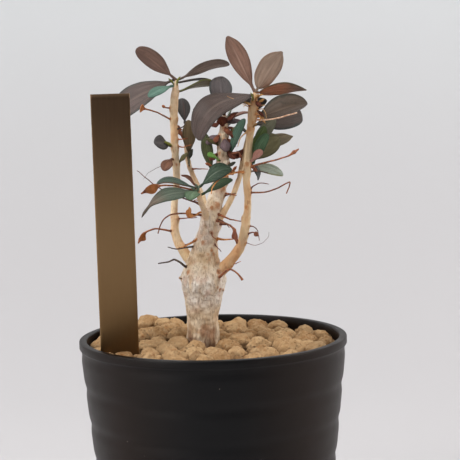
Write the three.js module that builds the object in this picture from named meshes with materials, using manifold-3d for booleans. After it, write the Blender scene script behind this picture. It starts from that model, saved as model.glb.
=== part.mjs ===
// A young potted boojum tree (Fouquieria): a swollen caudex with upright stems, fleshy oval
// leaves and dried leaf-stalk spines, planted in gravel in a rippled black pot with a metal label.
// Millimetres, +Z up. The origin is the centre of the pot's foot, on the surface it stands on.
import * as THREE from "three";
import { mergeVertices } from "three/addons/utils/BufferGeometryUtils.js";
import Module from "manifold-3d";

const wasm = await Module();
wasm.setup();

// ---------------------------------------------------------------- driving dimensions
const CLEARANCE = 0.3; // gap between pieces that touch
const POT_HEIGHT = 82;
const RIM_RADIUS = 45; // outside, at the lip
const FOOT_RADIUS = 36.8; // outside, at the base
const WALL = 1.9;
const FLOOR = 2.2;
const FOOT_HEIGHT = 2.6; // the floor is raised this far, inside the foot ring
const FOOT_RING = 4; // width of the ring that the pot stands on
const FOOT_ROUND = 0.8; // how far the foot ring is drawn in from the wall
const LIP_HEIGHT = 2.6;
const LIP_PROUD = 0.25; // how far the lip stands out from the wall
const LIP_ROUND = 0.5; // on its edges
const RIPPLE_PITCH = 12; // between the soft grooves round the wall
const RIPPLE_DEPTH = 0.4;
const FIRST_GROOVE = 4; // below the rim
const DRAIN_RADIUS = 1.8;
const DRAIN_RING = 18; // radius of the ring of drain holes
const DRAIN_HOLES = 8;
const POT_SIDES = 40;
const FLATS = RIM_RADIUS * (1 - Math.cos(Math.PI / POT_SIDES)); // corner to flat of the round wall

const SOIL_BELOW_RIM = 6; // flat top of the potting mix
const GRAVEL_BED = 2.2; // gravel that fills the gaps between the top stones
const STONE_SIZE = 8.2;
const STONE_RISE = 1.4; // middle of a top stone above the bed
const STONE_SHAKE = 0.3; // how far it strays from its place in the grid, as a share of its size
const GROUND = POT_HEIGHT - 2; // level at which the caudex leaves the gravel
const BURIED = 14; // how far the caudex reaches down into the mix

const LABEL_WIDTH = 12.4;
const LABEL_THICKNESS = 0.8;
const LABEL_HEIGHT = 110;
const LABEL_BURIED = 26; // below GROUND
const LABEL_BOW = 1.6; // how far the middle bows out of the chord
const LABEL_FRONT = 14.8; // in front of the pot's middle, at ground level
const LABEL_TURN = 6; // degrees, its right edge away from the front
const LABEL_LEAN = 5; // degrees, its top towards the front
const LABEL_TILT = 0.6; // degrees, its top to the left

const LEAF_THICKNESS = 0.75;
const PETIOLE_RADIUS = 0.5;
const LEAF_STATIONS = [0.03, 0.13, 0.28, 0.45, 0.62, 0.79, 0.93];
const SPINE_SIDES = 6;
const BLUNT_FOOT = 0.75; // how near a side stem comes to its parent, as a share of its radius

// ---------------------------------------------------------------- solids
const geometry = (positions, index) => {
  const made = new THREE.BufferGeometry();
  made.setAttribute("position", new THREE.Float32BufferAttribute(positions, 3));
  made.setIndex(index);
  return made;
};

const merged = (shape) => {
  const bare = shape.clone();
  bare.deleteAttribute("normal");
  bare.deleteAttribute("uv");
  return mergeVertices(bare, 1e-4);
};

const toSolid = (shape) => {
  const g = merged(shape);
  return new wasm.Manifold(
    new wasm.Mesh({
      numProp: 3,
      vertProperties: g.attributes.position.array,
      triVerts: new Uint32Array(g.index.array),
    }),
  );
};

const fromSolid = (solid) => {
  const { vertProperties, triVerts } = solid.getMesh();
  return geometry(Array.from(vertProperties), Array.from(triVerts));
};

const cut = (shape, ...tools) =>
  fromSolid(tools.reduce((rest, tool) => rest.subtract(toSolid(tool)), toSolid(shape)));

const joined = (shapes) =>
  fromSolid(shapes.map(toSolid).reduce((all, next) => all.add(next)));

// Skins a row of closed rings, with a point at each end, into one closed surface.
const skin = (rings, first, last) => {
  const points = [first, ...rings.flat(), last];
  const sides = rings[0].length;
  const end = points.length - 1;
  const at = (ring, k) => 1 + ring * sides + (k % sides);
  const index = [];
  for (let k = 0; k < sides; k++) {
    index.push(0, at(0, k + 1), at(0, k));
    for (let r = 0; r + 1 < rings.length; r++) {
      index.push(at(r, k), at(r, k + 1), at(r + 1, k));
      index.push(at(r, k + 1), at(r + 1, k + 1), at(r + 1, k));
    }
    index.push(at(rings.length - 1, k), at(rings.length - 1, k + 1), end);
  }
  return geometry(points.flatMap((p) => [p.x, p.y, p.z]), index);
};

const lathe = (profile, sides) => {
  const made = new THREE.LatheGeometry(profile.map(([r, z]) => new THREE.Vector2(r, z)), sides);
  return made.rotateX(Math.PI / 2); // three.js turns a lathe about Y
};

const upright = (radius, height, middle, sides = 12) =>
  new THREE.CylinderGeometry(radius, radius, height, sides)
    .rotateX(Math.PI / 2)
    .translate(middle[0], middle[1], middle[2]);

// ---------------------------------------------------------------- pot
const SLOPE = (RIM_RADIUS - LIP_PROUD - FOOT_RADIUS) / (POT_HEIGHT - LIP_HEIGHT);
const wallRadius = (z) => FOOT_RADIUS + SLOPE * Math.min(z, POT_HEIGHT - LIP_HEIGHT);
const innerRadius = (z) => wallRadius(z) - WALL - RIPPLE_DEPTH;
// The radius of what lies inside. Flats of a many-sided wall come inside its corners.
const fillRadius = (z) => innerRadius(Math.min(z, POT_HEIGHT)) - CLEARANCE - FLATS;
const ripple = (z) => {
  const grooves = (POT_HEIGHT - FIRST_GROOVE - z) / RIPPLE_PITCH;
  return -RIPPLE_DEPTH * (0.5 + 0.5 * Math.cos(2 * Math.PI * grooves));
};

const potShape = () => {
  const outside = [];
  const wallTop = POT_HEIGHT - LIP_HEIGHT;
  const steps = Math.round(wallTop / (RIPPLE_PITCH / 4));
  for (let i = 1; i <= steps; i++) {
    const z = (i / steps) * wallTop;
    outside.push([wallRadius(z) + ripple(z), z]);
  }
  const floorTop = FOOT_HEIGHT + FLOOR;
  const profile = [
    [0, FOOT_HEIGHT],
    [FOOT_RADIUS - FOOT_RING, FOOT_HEIGHT],
    [FOOT_RADIUS - FOOT_RING, 0],
    [FOOT_RADIUS - FOOT_ROUND, 0],
    ...outside,
    [RIM_RADIUS, wallTop + LIP_ROUND],
    [RIM_RADIUS, POT_HEIGHT - LIP_ROUND],
    [RIM_RADIUS - LIP_ROUND, POT_HEIGHT],
    [innerRadius(POT_HEIGHT) + LIP_ROUND, POT_HEIGHT],
    [innerRadius(POT_HEIGHT), POT_HEIGHT - LIP_ROUND],
    [innerRadius(floorTop), floorTop],
    [0, floorTop],
  ];
  const drains = [upright(DRAIN_RADIUS, 4 * FLOOR, [0, 0, floorTop])];
  for (let i = 0; i < DRAIN_HOLES; i++) {
    const turn = (2 * Math.PI * i) / DRAIN_HOLES;
    const place = [DRAIN_RING * Math.cos(turn), DRAIN_RING * Math.sin(turn), floorTop];
    drains.push(upright(DRAIN_RADIUS, 4 * FLOOR, place));
  }
  return cut(lathe(profile, POT_SIDES), ...drains);
};

// ---------------------------------------------------------------- label
// A thin strip, bowed along its height. Its own frame has its foot at z = 0.
const labelShape = (spare = 0) => {
  const steps = 10;
  const bow = (z) => LABEL_BOW * (1 - (2 * z / LABEL_HEIGHT - 1) ** 2);
  const half = LABEL_THICKNESS / 2 + spare;
  const levels = Array.from({ length: steps + 1 }, (_, i) => (i / steps) * LABEL_HEIGHT);
  levels[0] -= spare;
  const outline = new THREE.Shape([
    ...levels.map((z) => new THREE.Vector2(-bow(z) - half, z)),
    ...levels.reverse().map((z) => new THREE.Vector2(-bow(z) + half, z)),
  ]);
  const width = LABEL_WIDTH + 2 * spare;
  return new THREE.ExtrudeGeometry(outline, { depth: width, bevelEnabled: false, steps: 1 })
    .translate(0, 0, -width / 2)
    .applyMatrix4(new THREE.Matrix4().set(0, 0, 1, 0, 1, 0, 0, 0, 0, 1, 0, 0, 0, 0, 0, 1));
};

const degrees = THREE.MathUtils.degToRad;
// How far left the label's edge can be, inside the pot, at a depth below the ground.
const labelReach = (depth) => {
  const forward = LABEL_FRONT - depth * Math.sin(degrees(LABEL_LEAN)) + LABEL_BOW;
  const corner = forward + (LABEL_WIDTH / 2) * Math.sin(degrees(LABEL_TURN));
  return Math.sqrt((innerRadius(GROUND - depth) - CLEARANCE) ** 2 - corner ** 2);
};
// It stands against the inside of the pot, with its foot or at the rim, whichever is tighter.
const labelLeft =
  Math.min(labelReach(LABEL_BURIED), labelReach(GROUND - POT_HEIGHT)) - LABEL_WIDTH / 2;
const labelPlace = new THREE.Matrix4()
  .makeTranslation(-labelLeft, -LABEL_FRONT, GROUND)
  .multiply(new THREE.Matrix4().makeRotationZ(degrees(LABEL_TURN)))
  .multiply(new THREE.Matrix4().makeRotationX(degrees(LABEL_LEAN)))
  .multiply(new THREE.Matrix4().makeRotationY(degrees(-LABEL_TILT)))
  .multiply(new THREE.Matrix4().makeTranslation(0, 0, -LABEL_BURIED));

// ---------------------------------------------------------------- stems
// A stem's points are x, y, height above the ground, radius. sides is the number of its faces.
class Stem {
  constructor(sides, points) {
    this.curve = new THREE.CatmullRomCurve3(points.map(([x, y, z]) => new THREE.Vector3(x, y, z)));
    this.radii = points.map((p) => p[3]);
    this.sides = sides;
    this.spans = points.length - 1;
  }
  radius(t) {
    const at = t * this.spans;
    const i = Math.min(Math.floor(at), this.spans - 1);
    return THREE.MathUtils.lerp(this.radii[i], this.radii[i + 1], at - i);
  }
  direction(t) {
    return this.curve.getTangent(t).normalize();
  }
  // Where on the stem a height is, from 0 at its foot to 1 at its tip.
  atHeight(height) {
    let [low, high] = [0, 1];
    for (let i = 0; i < 20; i++) {
      const middle = (low + high) / 2;
      if (this.curve.getPoint(middle).z < height) low = middle;
      else high = middle;
    }
    return low;
  }
  // A point just outside the bark at that height, on the side that reach leans to. Above the
  // stem's tip it is straight out from the tip.
  outside(height, reach, radius) {
    const t = this.atHeight(height);
    const along = this.direction(t);
    const side = reach.clone();
    if (height < this.curve.getPoint(1).z) side.addScaledVector(along, -reach.dot(along));
    const distance = this.radius(t) + radius + CLEARANCE;
    return this.curve.getPoint(t).addScaledVector(side.normalize(), distance);
  }
  // The surface, grown outwards by spare.
  shape(spare = 0) {
    return sweep(this.curve, (t) => this.radius(t) + spare, this.spans, this.sides);
  }
}

// A round tube along a curve, with a blunt point at each end.
const sweep = (curve, radius, steps, sides) => {
  const rings = [];
  let side = new THREE.Vector3(0.2, 1, 0.1);
  for (let i = 0; i <= steps; i++) {
    const t = i / steps;
    const along = curve.getTangent(t).normalize();
    side = side.clone().addScaledVector(along, -side.dot(along)).normalize();
    const across = along.clone().cross(side);
    rings.push(
      Array.from({ length: sides }, (_, k) => {
        const turn = (2 * Math.PI * k) / sides;
        return curve
          .getPoint(t)
          .addScaledVector(side, radius(t) * Math.cos(turn))
          .addScaledVector(across, radius(t) * Math.sin(turn));
      }),
    );
  }
  const cap = (t, sign) =>
    curve.getPoint(t).addScaledVector(curve.getTangent(t).normalize(), sign * 0.4 * radius(t));
  return skin(rings, cap(0, -1), cap(1, 1));
};

// A side stem that grows out of its parent at a height, towards its first free point.
const branch = (parent, height, sides, points) => {
  const [x, y, z, radius] = points[0];
  const root = parent.curve.getPoint(parent.atHeight(height));
  const foot = parent.outside(height, new THREE.Vector3(x, y, z).sub(root), BLUNT_FOOT * radius);
  return new Stem(sides, [[foot.x, foot.y, foot.z, radius], ...points]);
};

const caudex = new Stem(16, [
  [-3.5, 2, -BURIED, 2.2],
  [-3.5, 2, -BURIED / 2, 4.4],
  [-3.5, 2, 0, 5.6],
  [-3.4, 2, 7, 5.3],
  [-3.2, 2, 13, 6.1],
  [-2.8, 2, 20, 7.6],
  [-2.6, 2, 24, 6.8],
  [-2.4, 2, 28.5, 4.9],
  [-1.7, 2, 33, 4],
  [-0.6, 2.2, 38, 3.4],
  [0.2, 2.5, 43, 3],
  [2, 3, 48, 2.7],
  [3.6, 3.8, 54, 2.4],
  [4.6, 4.6, 61, 2.1],
  [5, 5.4, 68, 1.8],
  [5.6, 6, 76, 0.6],
]);

const STEMS = {
  caudex,
  right_stem: branch(caudex, 25.6, 10, [
    [8.2, -3, 29.8, 1.7],
    [9.9, -3.8, 33, 1.55],
    [11.2, -4.4, 37.5, 1.45],
    [12.2, -5, 43, 1.25],
    [12.5, -5.5, 48.5, 1.2],
    [12.2, -6, 54.5, 1.25],
    [12.6, -6, 60, 1.25],
    [13.2, -6, 65.5, 1.2],
    [14, -6, 71.5, 1.2],
    [14.8, -6, 77.4, 1.5],
    [15.6, -6, 83.2, 0.5],
  ]),
  left_stem: branch(caudex, 27.6, 10, [
    [-10.9, 8.6, 32.4, 1.6],
    [-12, 9.6, 36, 1.4],
    [-12.4, 10.5, 41, 1.25],
    [-12, 11, 47.5, 1.2],
    [-11.2, 11.5, 54, 1.2],
    [-11.4, 12, 61, 1.2],
    [-11.7, 12.2, 68, 1.3],
    [-11.6, 12.6, 75, 1.25],
    [-11.2, 13, 82.4, 1.4],
    [-10.4, 13, 88.2, 0.5],
  ]),
  front_shoot: branch(caudex, 42.4, 8, [
    [-2.6, -4.6, 46.6, 0.9],
    [-3.5, -6.4, 49.4, 0.85],
    [-4, -7.8, 52.5, 0.6],
  ]),
  fork_stem: branch(caudex, 43.6, 8, [
    [7.3, 1.6, 48.2, 1],
    [9, 2.6, 52, 0.95],
    [10.4, 3.6, 56, 0.9],
    [11.6, 5, 61.5, 0.8],
    [13, 6.4, 67, 0.75],
    [14.2, 7.2, 72, 0.4],
  ]),
  rear_stem: branch(caudex, 44, 8, [
    [-2.6, 9.8, 48.8, 0.95],
    [-4.6, 13, 53.2, 0.9],
    [-6.8, 16, 58.5, 0.85],
    [-7.8, 18, 65, 0.75],
    [-7, 19.2, 73.5, 0.4],
  ]),
};

// ---------------------------------------------------------------- leaves
// Each leaf leaves its stem at a height, and its tip is at reach from its foot. face is the way
// its upper side looks, arch is how far it rises above the straight line from foot to tip, and
// cup how far its margins stand up as a share of its width. widest is where along it the blade is
// widest, and tip how sharply it ends: 0.5 is round, 1 is pointed. neck is how slowly the blade
// widens from its foot.
const leaf = (stem, height, reach, width, options = {}) => ({
  stem,
  height,
  reach: new THREE.Vector3(...reach),
  width,
  face: new THREE.Vector3(...(options.face ?? [0, 0, 1])),
  arch: options.arch ?? 0.8,
  cup: options.cup ?? 0.12,
  widest: options.widest ?? 0.6,
  tip: options.tip ?? 0.55,
  neck: options.neck ?? 0.8,
});

const LEAVES = {
  // the crown of the right stem
  leaf_right_tall: leaf("right_stem", 83.6, [-8.2, -2, 17.2], 6.8, {
    face: [0.2, 1, 0.2],
    tip: 0.8,
    neck: 0.7,
  }),
  leaf_right_upright: leaf("right_stem", 83.6, [8.4, -1, 12], 8.8, {
    face: [-0.4, 1, 0.3],
    widest: 0.52,
    tip: 0.9,
    neck: 0.46,
  }),
  leaf_right_level: leaf("right_stem", 83.6, [16.2, 5.6, 0.4], 7.6, {
    face: [0, 0.65, 1],
    widest: 0.24,
    tip: 0.9,
    neck: 0.7,
  }),
  leaf_right_broad: leaf("right_stem", 83.6, [-18, -8.6, -14.2], 12.6, {
    face: [-0.6, -0.8, 0.7],
    arch: 6.2,
    widest: 0.66,
    tip: 0.4,
    neck: 0.46,
  }),
  leaf_right_rolled: leaf("right_stem", 75.6, [15.6, -4, 4.4], 8.8, {
    face: [0.1, 1, 0.9],
    cup: 0.3,
    neck: 0.52,
  }),
  leaf_right_back: leaf("right_stem", 81.6, [0.6, 9, -4], 7.8, { arch: 1.4 }),
  // along the right stem
  leaf_right_green: leaf("right_stem", 60.4, [5, -1, 9.4], 5.4, { face: [-0.7, -1, 0.6] }),
  leaf_right_pink: leaf("right_stem", 61, [3.2, -3.2, 3.6], 2.8, { face: [0, 1, 0.4], arch: 0.3 }),
  leaf_right_dark: leaf("right_stem", 60, [2.4, 3.6, -5.4], 4.8, { face: [1, -0.6, 0.4] }),
  // the fork behind the right stem
  leaf_fork_far: leaf("fork_stem", 72.4, [16.8, 4, 3.4], 10.6, {
    face: [0, -1, 0.5],
    arch: 1.2,
    tip: 0.45,
  }),
  leaf_fork_tall: leaf("fork_stem", 65, [8.8, -0.6, 9.8], 4.4, { face: [0.3, -1, 0.1] }),
  leaf_fork_bright: leaf("fork_stem", 63, [6, -2.6, 9], 4.2, {
    face: [0.6, -1, 0.2],
    arch: 1.6,
  }),
  leaf_fork_olive: leaf("fork_stem", 60.4, [11, 1, 8], 8.4, { face: [-0.2, -1, 0.5] }),
  leaf_fork_point: leaf("fork_stem", 64, [15.4, 7, 4.6], 5.4, { face: [0, -1, 0.8], tip: 1 }),
  leaf_fork_silver: leaf("fork_stem", 59, [12.4, 1.6, -3.4], 4.8, { face: [0, -0.8, 1], arch: 1 }),
  // the crown of the middle stem
  leaf_middle_round: leaf("caudex", 76, [-1.4, 6, 11.8], 7.8, { face: [0, -1, 0.3] }),
  leaf_middle_pale: leaf("caudex", 75, [4, -3.6, 5.6], 3, { face: [-0.6, -0.6, 1] }),
  leaf_middle_red: leaf("caudex", 74.6, [8, 3.4, 2], 4),
  leaf_middle_left: leaf("caudex", 75, [-9, 2.6, 3], 5.6),
  leaf_middle_back: leaf("caudex", 71, [1.6, 10.6, 4.6], 6),
  leaf_middle_green: leaf("caudex", 62, [5.6, -3, 12.6], 4, { face: [-0.8, -1, 0.3] }),
  leaf_middle_bright: leaf("caudex", 60.6, [-3.6, -6.6, 1.8], 3.4, { face: [0, -1, 0.7] }),
  leaf_middle_hanging: leaf("caudex", 56, [-2, 0.6, 13.4], 4, { face: [-0.3, -1, 0.1] }),
  // the thin stem at the back
  leaf_rear_dark: leaf("rear_stem", 73.4, [-1, 2.4, 8.6], 5, { face: [0.3, -1, 0.2] }),
  leaf_rear_olive: leaf("rear_stem", 61.6, [0.2, -2, 12.4], 4.8, { face: [0.3, -1, 0] }),
  leaf_rear_brown: leaf("rear_stem", 52, [-4.4, -2.6, 3.4], 3.4),
  leaf_rear_far: leaf("rear_stem", 66, [0.4, 7.4, 5], 4.4),
  // the short shoot at the front
  leaf_front_dark: leaf("front_shoot", 52.6, [10.2, -2, 5.4], 6.4, {
    face: [-0.3, -1, 0.8],
    arch: 2.2,
  }),
  leaf_front_under: leaf("front_shoot", 50, [9.8, 1, 4.4], 3.8, { face: [0, -0.8, 1] }),
  leaf_front_level: leaf("front_shoot", 52.6, [-12, 1, 1.4], 5, {
    face: [0, -0.5, 1],
    arch: 1.8,
  }),
  leaf_front_long: leaf("front_shoot", 51.8, [-17, -7, -7.6], 6.8, {
    face: [0, -0.9, 1],
    arch: 4.6,
    widest: 0.38,
    tip: 2.4,
  }),
  leaf_front_small: leaf("front_shoot", 52, [-2.2, -6.4, -2.4], 5.2, { face: [0, -0.6, 1] }),
  // the crown of the left stem
  leaf_left_up: leaf("left_stem", 88.6, [-12.2, -3.4, 10], 7, { face: [0.1, 1, 0.6], cup: 0.05 }),
  leaf_left_across: leaf("left_stem", 88.6, [17, 0, 4.6], 6, { face: [0, 0.7, 1], arch: 1.8 }),
  leaf_left_broad: leaf("left_stem", 88, [-20.4, 5, -12], 12.2, {
    face: [-0.3, -1, 0.7],
    arch: 2.4,
  }),
  leaf_left_teal: leaf("left_stem", 86, [-7.9, -5.4, -3.6], 4, { face: [0, -1, 0.8] }),
  leaf_left_low: leaf("left_stem", 84.6, [12, 6.6, 2], 6, { face: [0, 0.5, 1], arch: 1.2 }),
  leaf_left_behind: leaf("left_stem", 87.6, [12, 10.4, -1.4], 5.6, { arch: 1.8 }),
  // along the left stem
  leaf_left_round: leaf("left_stem", 66, [-5.2, -4, 1.2], 5.6, { face: [0, -1, 0.6] }),
  leaf_left_russet: leaf("left_stem", 61.4, [-2.8, -4, -3.8], 4.2, { face: [0, -1, 0.8] }),
};

// The half width of a leaf along its length, as a share of the full half width: it swells from
// a narrow foot to its widest place, and closes to the tip.
const bladeWidth = (t, { widest, tip, neck }) => {
  if (t < widest) return 0.5 - 0.5 * Math.cos(Math.PI * (t / widest) ** neck);
  return (1 - ((t - widest) / (1 - widest)) ** 2) ** tip;
};

// How far the midrib has risen, as a share of the arch: it droops most near the tip.
const ARCH_PEAK = 2.116; // makes the highest place of t (1 - t^3) equal to 1
const archAt = (t) => ARCH_PEAK * t * (1 - t ** 3);
const archSlope = (t) => ARCH_PEAK * (1 - 4 * t ** 3);

// The midrib, the way across the blade and the way its upper side looks, at t along a leaf.
const leafFrame = (base, it, t) => {
  const chord = it.reach.clone().normalize();
  const up = it.face.clone().addScaledVector(chord, -it.face.dot(chord)).normalize();
  const slope = (it.arch * archSlope(t)) / it.reach.length();
  const along = chord.clone().addScaledVector(up, slope).normalize();
  const across = up.clone().cross(chord).normalize();
  const normal = along.clone().cross(across).normalize();
  const middle = base
    .clone()
    .addScaledVector(it.reach, t)
    .addScaledVector(up, it.arch * archAt(t));
  return { middle, across, normal };
};

const leafShape = (it) => {
  const base = STEMS[it.stem].outside(it.height, it.reach, PETIOLE_RADIUS);
  const rings = LEAF_STATIONS.map((t) => {
    const { middle, across, normal } = leafFrame(base, it, t);
    const half = Math.max(PETIOLE_RADIUS, (it.width / 2) * bladeWidth(t, it));
    const lift = it.cup * (half - PETIOLE_RADIUS);
    const thick = LEAF_THICKNESS / 2;
    // round the section: share of the half width, share of the lift, side of the blade
    const section = [
      [1, 1, 0],
      [0.55, 0.3, 0.9],
      [0, 0, 1],
      [-0.55, 0.3, 0.9],
      [-1, 1, 0],
      [-0.55, 0.3, -0.9],
      [0, 0, -1],
      [0.55, 0.3, -0.9],
    ];
    return section.map(([x, y, side]) =>
      middle
        .clone()
        .addScaledVector(across, x * half)
        .addScaledVector(normal, y * lift + side * thick),
    );
  });
  const foot = leafFrame(base, it, 0).middle;
  const tip = leafFrame(base, it, 1).middle;
  return skin(rings, foot, tip);
};

// ---------------------------------------------------------------- spines
// The dried stalks of old leaves. Points are measured from the foot on the stem: x, y, z, radius.
const spine = (stem, height, ...points) => ({ stem, height, points });

const SPINES = {
  spine_left_long: spine("caudex", 42,
    [-4.4, -1.6, 0.8, 0.45], [-9, -3, 0.8, 0.4], [-12, -4, -0.8, 0.35], [-14, -4.6, -5.4, 0.3]),
  spine_left_leaf: spine("left_stem", 37,
    [-4, -1.8, 1, 0.45], [-7.6, -3, 0.2, 0.5], [-9.4, -3.8, -1.6, 1], [-10.6, -4.4, -3.6, 0.4]),
  spine_front_leaf: spine("front_shoot", 52,
    [-6, -1.6, 1.6, 0.45], [-10.4, -3.4, 2, 0.5], [-13.6, -4.4, 1.2, 1.1], [-17, -5, -0.4, 0.4]),
  spine_left_low: spine("caudex", 25.6,
    [-3.4, -1.6, 2.6, 0.5], [-5.4, -2.2, 2, 0.4], [-9, -3, 1.6, 0.3]),
  spine_right_low: spine("caudex", 22.6,
    [3, -3, 2.8, 0.5], [5.4, -4, 1.8, 0.45], [7.4, -4.4, -0.6, 0.6]),
  spine_middle_leaf: spine("caudex", 41,
    [3, -3.4, -0.8, 0.45], [5, -7, -2, 0.6], [6, -8, -4.6, 1.1], [6, -8, -7, 0.4]),
  spine_right_high: spine("right_stem", 74.6,
    [4.4, -2, 0, 0.4], [9.4, -4.4, 1.2, 0.35], [12.6, -5.6, 2, 0.35]),
  spine_right_bud: spine("right_stem", 59.4,
    [6, -3, 1.6, 0.45], [11, -4.8, 3, 0.4], [13.4, -5.4, 4.4, 0.7], [14.8, -5.8, 5.4, 0.4]),
  spine_right_hook: spine("right_stem", 50.4,
    [4.4, -2, 0.2, 0.4], [9.4, -4, 2.2, 0.35], [12, -5, 3.4, 0.35], [10.8, -5.4, -0.2, 0.3]),
  spine_left_high: spine("left_stem", 75,
    [-4, -2.8, 2.2, 0.4], [-7.4, -4.6, 3.4, 0.45], [-9.4, -5.6, 4, 1]),
};

const spineShape = ({ stem, height, points }) => {
  const steps = 2 * points.length;
  const out = new THREE.Vector3(...points[0]);
  const foot = STEMS[stem].outside(height, out, points[0][3]);
  const path = [foot, ...points.map(([x, y, z]) => foot.clone().add(new THREE.Vector3(x, y, z)))];
  const radii = [points[0][3] * 1.2, ...points.map((p) => p[3])];
  const radius = (t) => {
    const at = t * (radii.length - 1);
    const i = Math.min(Math.floor(at), radii.length - 2);
    return THREE.MathUtils.lerp(radii[i], radii[i + 1], at - i);
  };
  return sweep(new THREE.CatmullRomCurve3(path), radius, steps, SPINE_SIDES);
};

// ---------------------------------------------------------------- gravel
// A repeatable number from 0 to 1 for each pair of whole numbers.
const scatter = (a, b) => {
  const wave = Math.sin(a * 12.9898 + b * 78.233) * 43758.5453;
  return wave - Math.floor(wave);
};

const SOIL_TOP = POT_HEIGHT - SOIL_BELOW_RIM;
const FLOOR_TOP = FOOT_HEIGHT + FLOOR;
const BED_FOOT = SOIL_TOP + CLEARANCE;

// The gravel is thin in front of the label, where it leans on the wall.
const beforeLabel = (x, y) =>
  Math.abs(x + labelLeft) < 0.9 * LABEL_WIDTH && y < -LABEL_FRONT;

// Stones on a shaken triangular grid, each a different lump.
const stones = () => {
  const found = [];
  const room = innerRadius(SOIL_TOP) - CLEARANCE;
  const pitch = STONE_SIZE * Math.sin(Math.PI / 3);
  const rows = Math.ceil(room / pitch);
  for (let row = -rows; row <= rows; row++) {
    for (let column = -rows - 1; column <= rows + 1; column++) {
      const pick = (k) => scatter(row * 31 + column, k);
      const x = STONE_SIZE * (column + (row % 2 ? 0.5 : 0) + STONE_SHAKE * (pick(1) - 0.5));
      const y = pitch * row + STONE_SIZE * STONE_SHAKE * (pick(2) - 0.5);
      const radius = STONE_SIZE * (0.46 + 0.14 * pick(3));
      if (Math.hypot(x, y) + 0.8 * radius > room) continue;
      if (beforeLabel(x, y)) continue;
      const turn = new THREE.Euler(...[4, 5, 6].map((k) => 2 * Math.PI * pick(k)));
      const place = [x, y, BED_FOOT + GRAVEL_BED + STONE_RISE * (0.3 + pick(7))];
      found.push({ place, turn, size: [radius, radius * (0.75 + 0.2 * pick(8)), radius * 0.72] });
    }
  }
  return found;
};

const insidePot = () => {
  const top = POT_HEIGHT + 4 * STONE_RISE;
  const profile = [
    [0, FLOOR_TOP],
    [fillRadius(FLOOR_TOP), FLOOR_TOP],
    [fillRadius(top), top],
    [0, top],
  ];
  return lathe(profile, POT_SIDES);
};

const slots = () => [
  caudex.shape(CLEARANCE).translate(0, 0, GROUND),
  labelShape(CLEARANCE).applyMatrix4(labelPlace),
];

const gravelShape = () => {
  const side = fillRadius(BED_FOOT);
  const bedTop = BED_FOOT + GRAVEL_BED;
  const bed = lathe([[0, BED_FOOT], [side, BED_FOOT], [side, bedTop], [0, bedTop]], POT_SIDES);
  const lumps = stones().map(({ place, turn, size }) =>
    new THREE.IcosahedronGeometry(1, 0)
      .scale(...size)
      .applyMatrix4(new THREE.Matrix4().makeRotationFromEuler(turn))
      .translate(...place),
  );
  const above = new THREE.BoxGeometry(4 * RIM_RADIUS, 4 * RIM_RADIUS, 2 * POT_HEIGHT)
    .translate(0, 0, BED_FOOT + POT_HEIGHT);
  const heap = toSolid(joined([bed, ...lumps]));
  const level = heap.intersect(toSolid(insidePot())).intersect(toSolid(above));
  const bodies = toSolid(cut(fromSolid(level), ...slots())).decompose();
  return fromSolid(bodies.sort((a, b) => b.volume() - a.volume())[0]);
};

const mixShape = () => {
  const foot = FLOOR_TOP + CLEARANCE;
  const profile = [
    [0, foot],
    [fillRadius(foot), foot],
    [fillRadius(SOIL_TOP), SOIL_TOP],
    [0, SOIL_TOP],
  ];
  return cut(lathe(profile, POT_SIDES), ...slots());
};

// ---------------------------------------------------------------- materials and assembly
const material = (color, roughness, metalness = 0) =>
  new THREE.MeshStandardMaterial({ color, roughness, metalness });

const BLACK_PLASTIC = material(0x2a2728, 0.5);
const BRONZE = material(0x7a6143, 0.35, 0.9);
const MIX = material(0x6f5436, 0.95);
const GRAVEL = material(0xb8935f, 0.95);
const BARK = material(0xc2a684, 0.8);
const DRIED = material(0x8f5a38, 0.8);
const LEAF = material(0x5f6a58, 0.55);

const part = new THREE.Group();
const add = (parent, name, shape, finish) => {
  const mesh = new THREE.Mesh(shape, finish);
  mesh.name = name;
  parent.add(mesh);
  return mesh;
};

add(part, "pot", potShape(), BLACK_PLASTIC);
add(part, "potting_mix", mixShape(), MIX);
add(part, "top_gravel", gravelShape(), GRAVEL);

const label = add(part, "plant_label", labelShape(), BRONZE);
label.applyMatrix4(labelPlace);

const plant = new THREE.Group();
plant.position.z = GROUND;
part.add(plant);
for (const [name, stem] of Object.entries(STEMS)) add(plant, name, stem.shape(), BARK);
for (const [name, it] of Object.entries(LEAVES)) add(plant, name, leafShape(it), LEAF);
for (const [name, it] of Object.entries(SPINES)) add(plant, name, spineShape(it), DRIED);

export default part;
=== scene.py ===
"""The looks of a young potted boojum tree, built round its CAD model.

The plant's stems, leaves and dried stalks are read back from the CAD nodes as rings of points and
rebuilt as smooth, detailed meshes in the same places. Lengths are in metres.
"""

import math
import random

import bpy
import numpy as np
from mathutils import Euler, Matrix, Quaternion, Vector, noise


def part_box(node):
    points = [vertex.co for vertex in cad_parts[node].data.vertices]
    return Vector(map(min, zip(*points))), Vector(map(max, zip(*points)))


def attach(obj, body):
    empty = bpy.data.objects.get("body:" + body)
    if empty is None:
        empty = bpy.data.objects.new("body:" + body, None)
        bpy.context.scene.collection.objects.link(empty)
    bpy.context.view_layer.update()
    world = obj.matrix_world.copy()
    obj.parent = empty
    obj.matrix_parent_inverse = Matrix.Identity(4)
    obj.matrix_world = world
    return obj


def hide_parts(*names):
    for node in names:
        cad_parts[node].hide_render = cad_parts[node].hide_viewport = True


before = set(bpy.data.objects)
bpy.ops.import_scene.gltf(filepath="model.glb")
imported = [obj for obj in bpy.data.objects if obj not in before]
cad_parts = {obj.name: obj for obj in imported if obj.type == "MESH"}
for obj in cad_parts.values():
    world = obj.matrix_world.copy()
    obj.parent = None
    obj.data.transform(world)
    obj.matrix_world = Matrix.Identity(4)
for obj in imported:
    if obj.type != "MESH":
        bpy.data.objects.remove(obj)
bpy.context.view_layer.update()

MM = 0.001
BODY = "root"
UP = np.array([0.0, 0.0, 1.0])
RNG = random.Random(11)
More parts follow.
